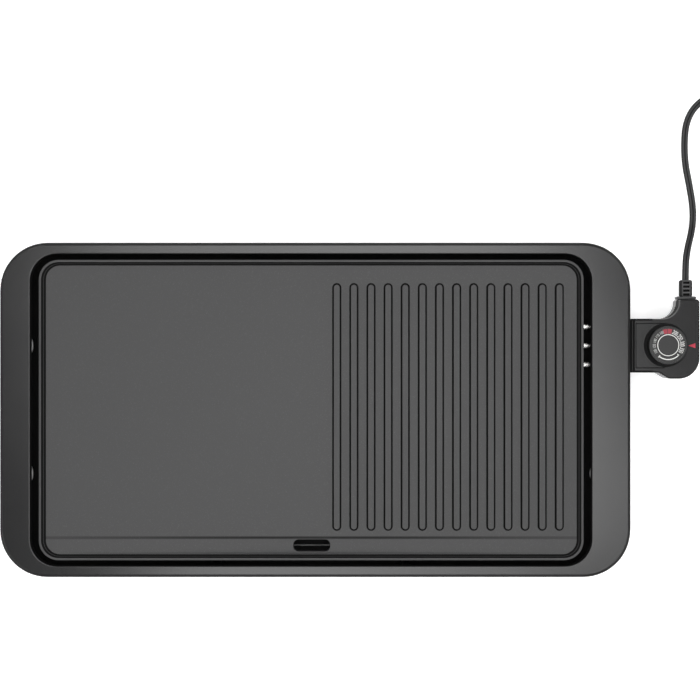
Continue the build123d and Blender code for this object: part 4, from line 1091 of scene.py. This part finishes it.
class GRIDDLE_OT_stage(bpy.types.Operator):
    """Set the pale floor, the soft lights and the camera"""

    bl_idname = "griddle.stage"
    bl_label = "Set the stage"

    def execute(self, context):
        settings = context.scene.griddle_stage
        clear_selection()
        bpy.ops.mesh.primitive_plane_add(size=settings.floor_size, location=(0, 0, -FLOOR_DROP))
        floor = context.object
        floor.name = "floor"
        finish = Finish("pale_floor")
        cloud = finish.noise(3.0, 2.0, 0.5)
        finish.set(Base_Color=finish.blend(cloud, (0.90, 0.90, 0.90, 1), (0.93, 0.93, 0.93, 1)))
        finish.set(Roughness=0.9, Specular_IOR_Level=0.1)
        across, along = finish.axis("X"), finish.axis("Y")
        away = finish.fade((across * across + along * along).power(0.5), GLOW_NEAR, GLOW_FAR)
        finish.set(Emission_Color=finish.blend(away, (0.42, 0.42, 0.42, 1), (0.95, 0.95, 0.95, 1)))
        finish.set(Emission_Strength=1.0)
        floor.data.materials.append(finish.material)

        context.scene.world = studio_world()
        soft_light("top_panel", TOP_PANEL, TOP_TARGET, size=(1.27, 1.2), brightness=4.6, turned=17.0)
        for step in range(SIDE_PANELS):
            angle = math.radians(30 + 360 / SIDE_PANELS * step)
            place = (SIDE_REACH * math.cos(angle), SIDE_REACH * math.sin(angle), SIDE_HEIGHT)
            soft_light(f"side_panel_{step}", place, (0.0, 0.0, 0.0), size=(1.7, 1.2), brightness=3.0)
        context.scene.view_settings.view_transform = "Standard"

        camera = bpy.data.cameras.new("camera")
        rim_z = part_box("base_frame")[1].z
        distance = settings.camera_height - rim_z
        camera.sensor_width = 36.0
        camera.lens = camera.sensor_width * distance / settings.view_width
        holder = bpy.data.objects.new("camera", camera)
        holder.location = (0.0, settings.camera_y, settings.camera_height)
        context.scene.collection.objects.link(holder)
        context.scene.camera = holder
        return {"FINISHED"}


# ------------------------------------------------------------------ panel


class GRIDDLE_PT_panel(bpy.types.Panel):
    """Buttons for each step, with the settings they use"""

    bl_idname = "GRIDDLE_PT_panel"
    bl_label = "Griddle"
    bl_space_type = "VIEW_3D"
    bl_region_type = "UI"
    bl_category = "Griddle"

    def draw(self, context):
        layout = self.layout
        for operator in OPERATORS:
            layout.operator(operator.bl_idname)
        for name, group in SETTINGS.items():
            box = layout.box()
            for setting in group.__annotations__:
                box.prop(getattr(context.scene, name), setting)


SETTINGS = {
    "griddle_finish": GriddleFinishSettings,
    "griddle_cord": GriddleCordSettings,
    "griddle_dial": GriddleDialSettings,
    "griddle_stage": GriddleStageSettings,
}
OPERATORS = (
    GRIDDLE_OT_finishes,
    GRIDDLE_OT_cord,
    GRIDDLE_OT_strain_relief,
    GRIDDLE_OT_dial_print,
    GRIDDLE_OT_tray_bead,
    GRIDDLE_OT_stage,
)


def register():
    for group in (*SETTINGS.values(), *OPERATORS, GRIDDLE_PT_panel):
        bpy.utils.register_class(group)
    for name, group in SETTINGS.items():
        setattr(bpy.types.Scene, name, bpy.props.PointerProperty(type=group))


def unregister():
    for name in SETTINGS:
        delattr(bpy.types.Scene, name)
    for group in reversed((*SETTINGS.values(), *OPERATORS, GRIDDLE_PT_panel)):
        bpy.utils.unregister_class(group)


def main():
    register()
    bpy.ops.griddle.finishes()
    bpy.ops.griddle.stage()
    bpy.ops.griddle.cord()
    bpy.ops.griddle.strain_relief()
    bpy.ops.griddle.dial_print()
    bpy.ops.griddle.tray_bead()


if __name__ == "__main__":
    main()
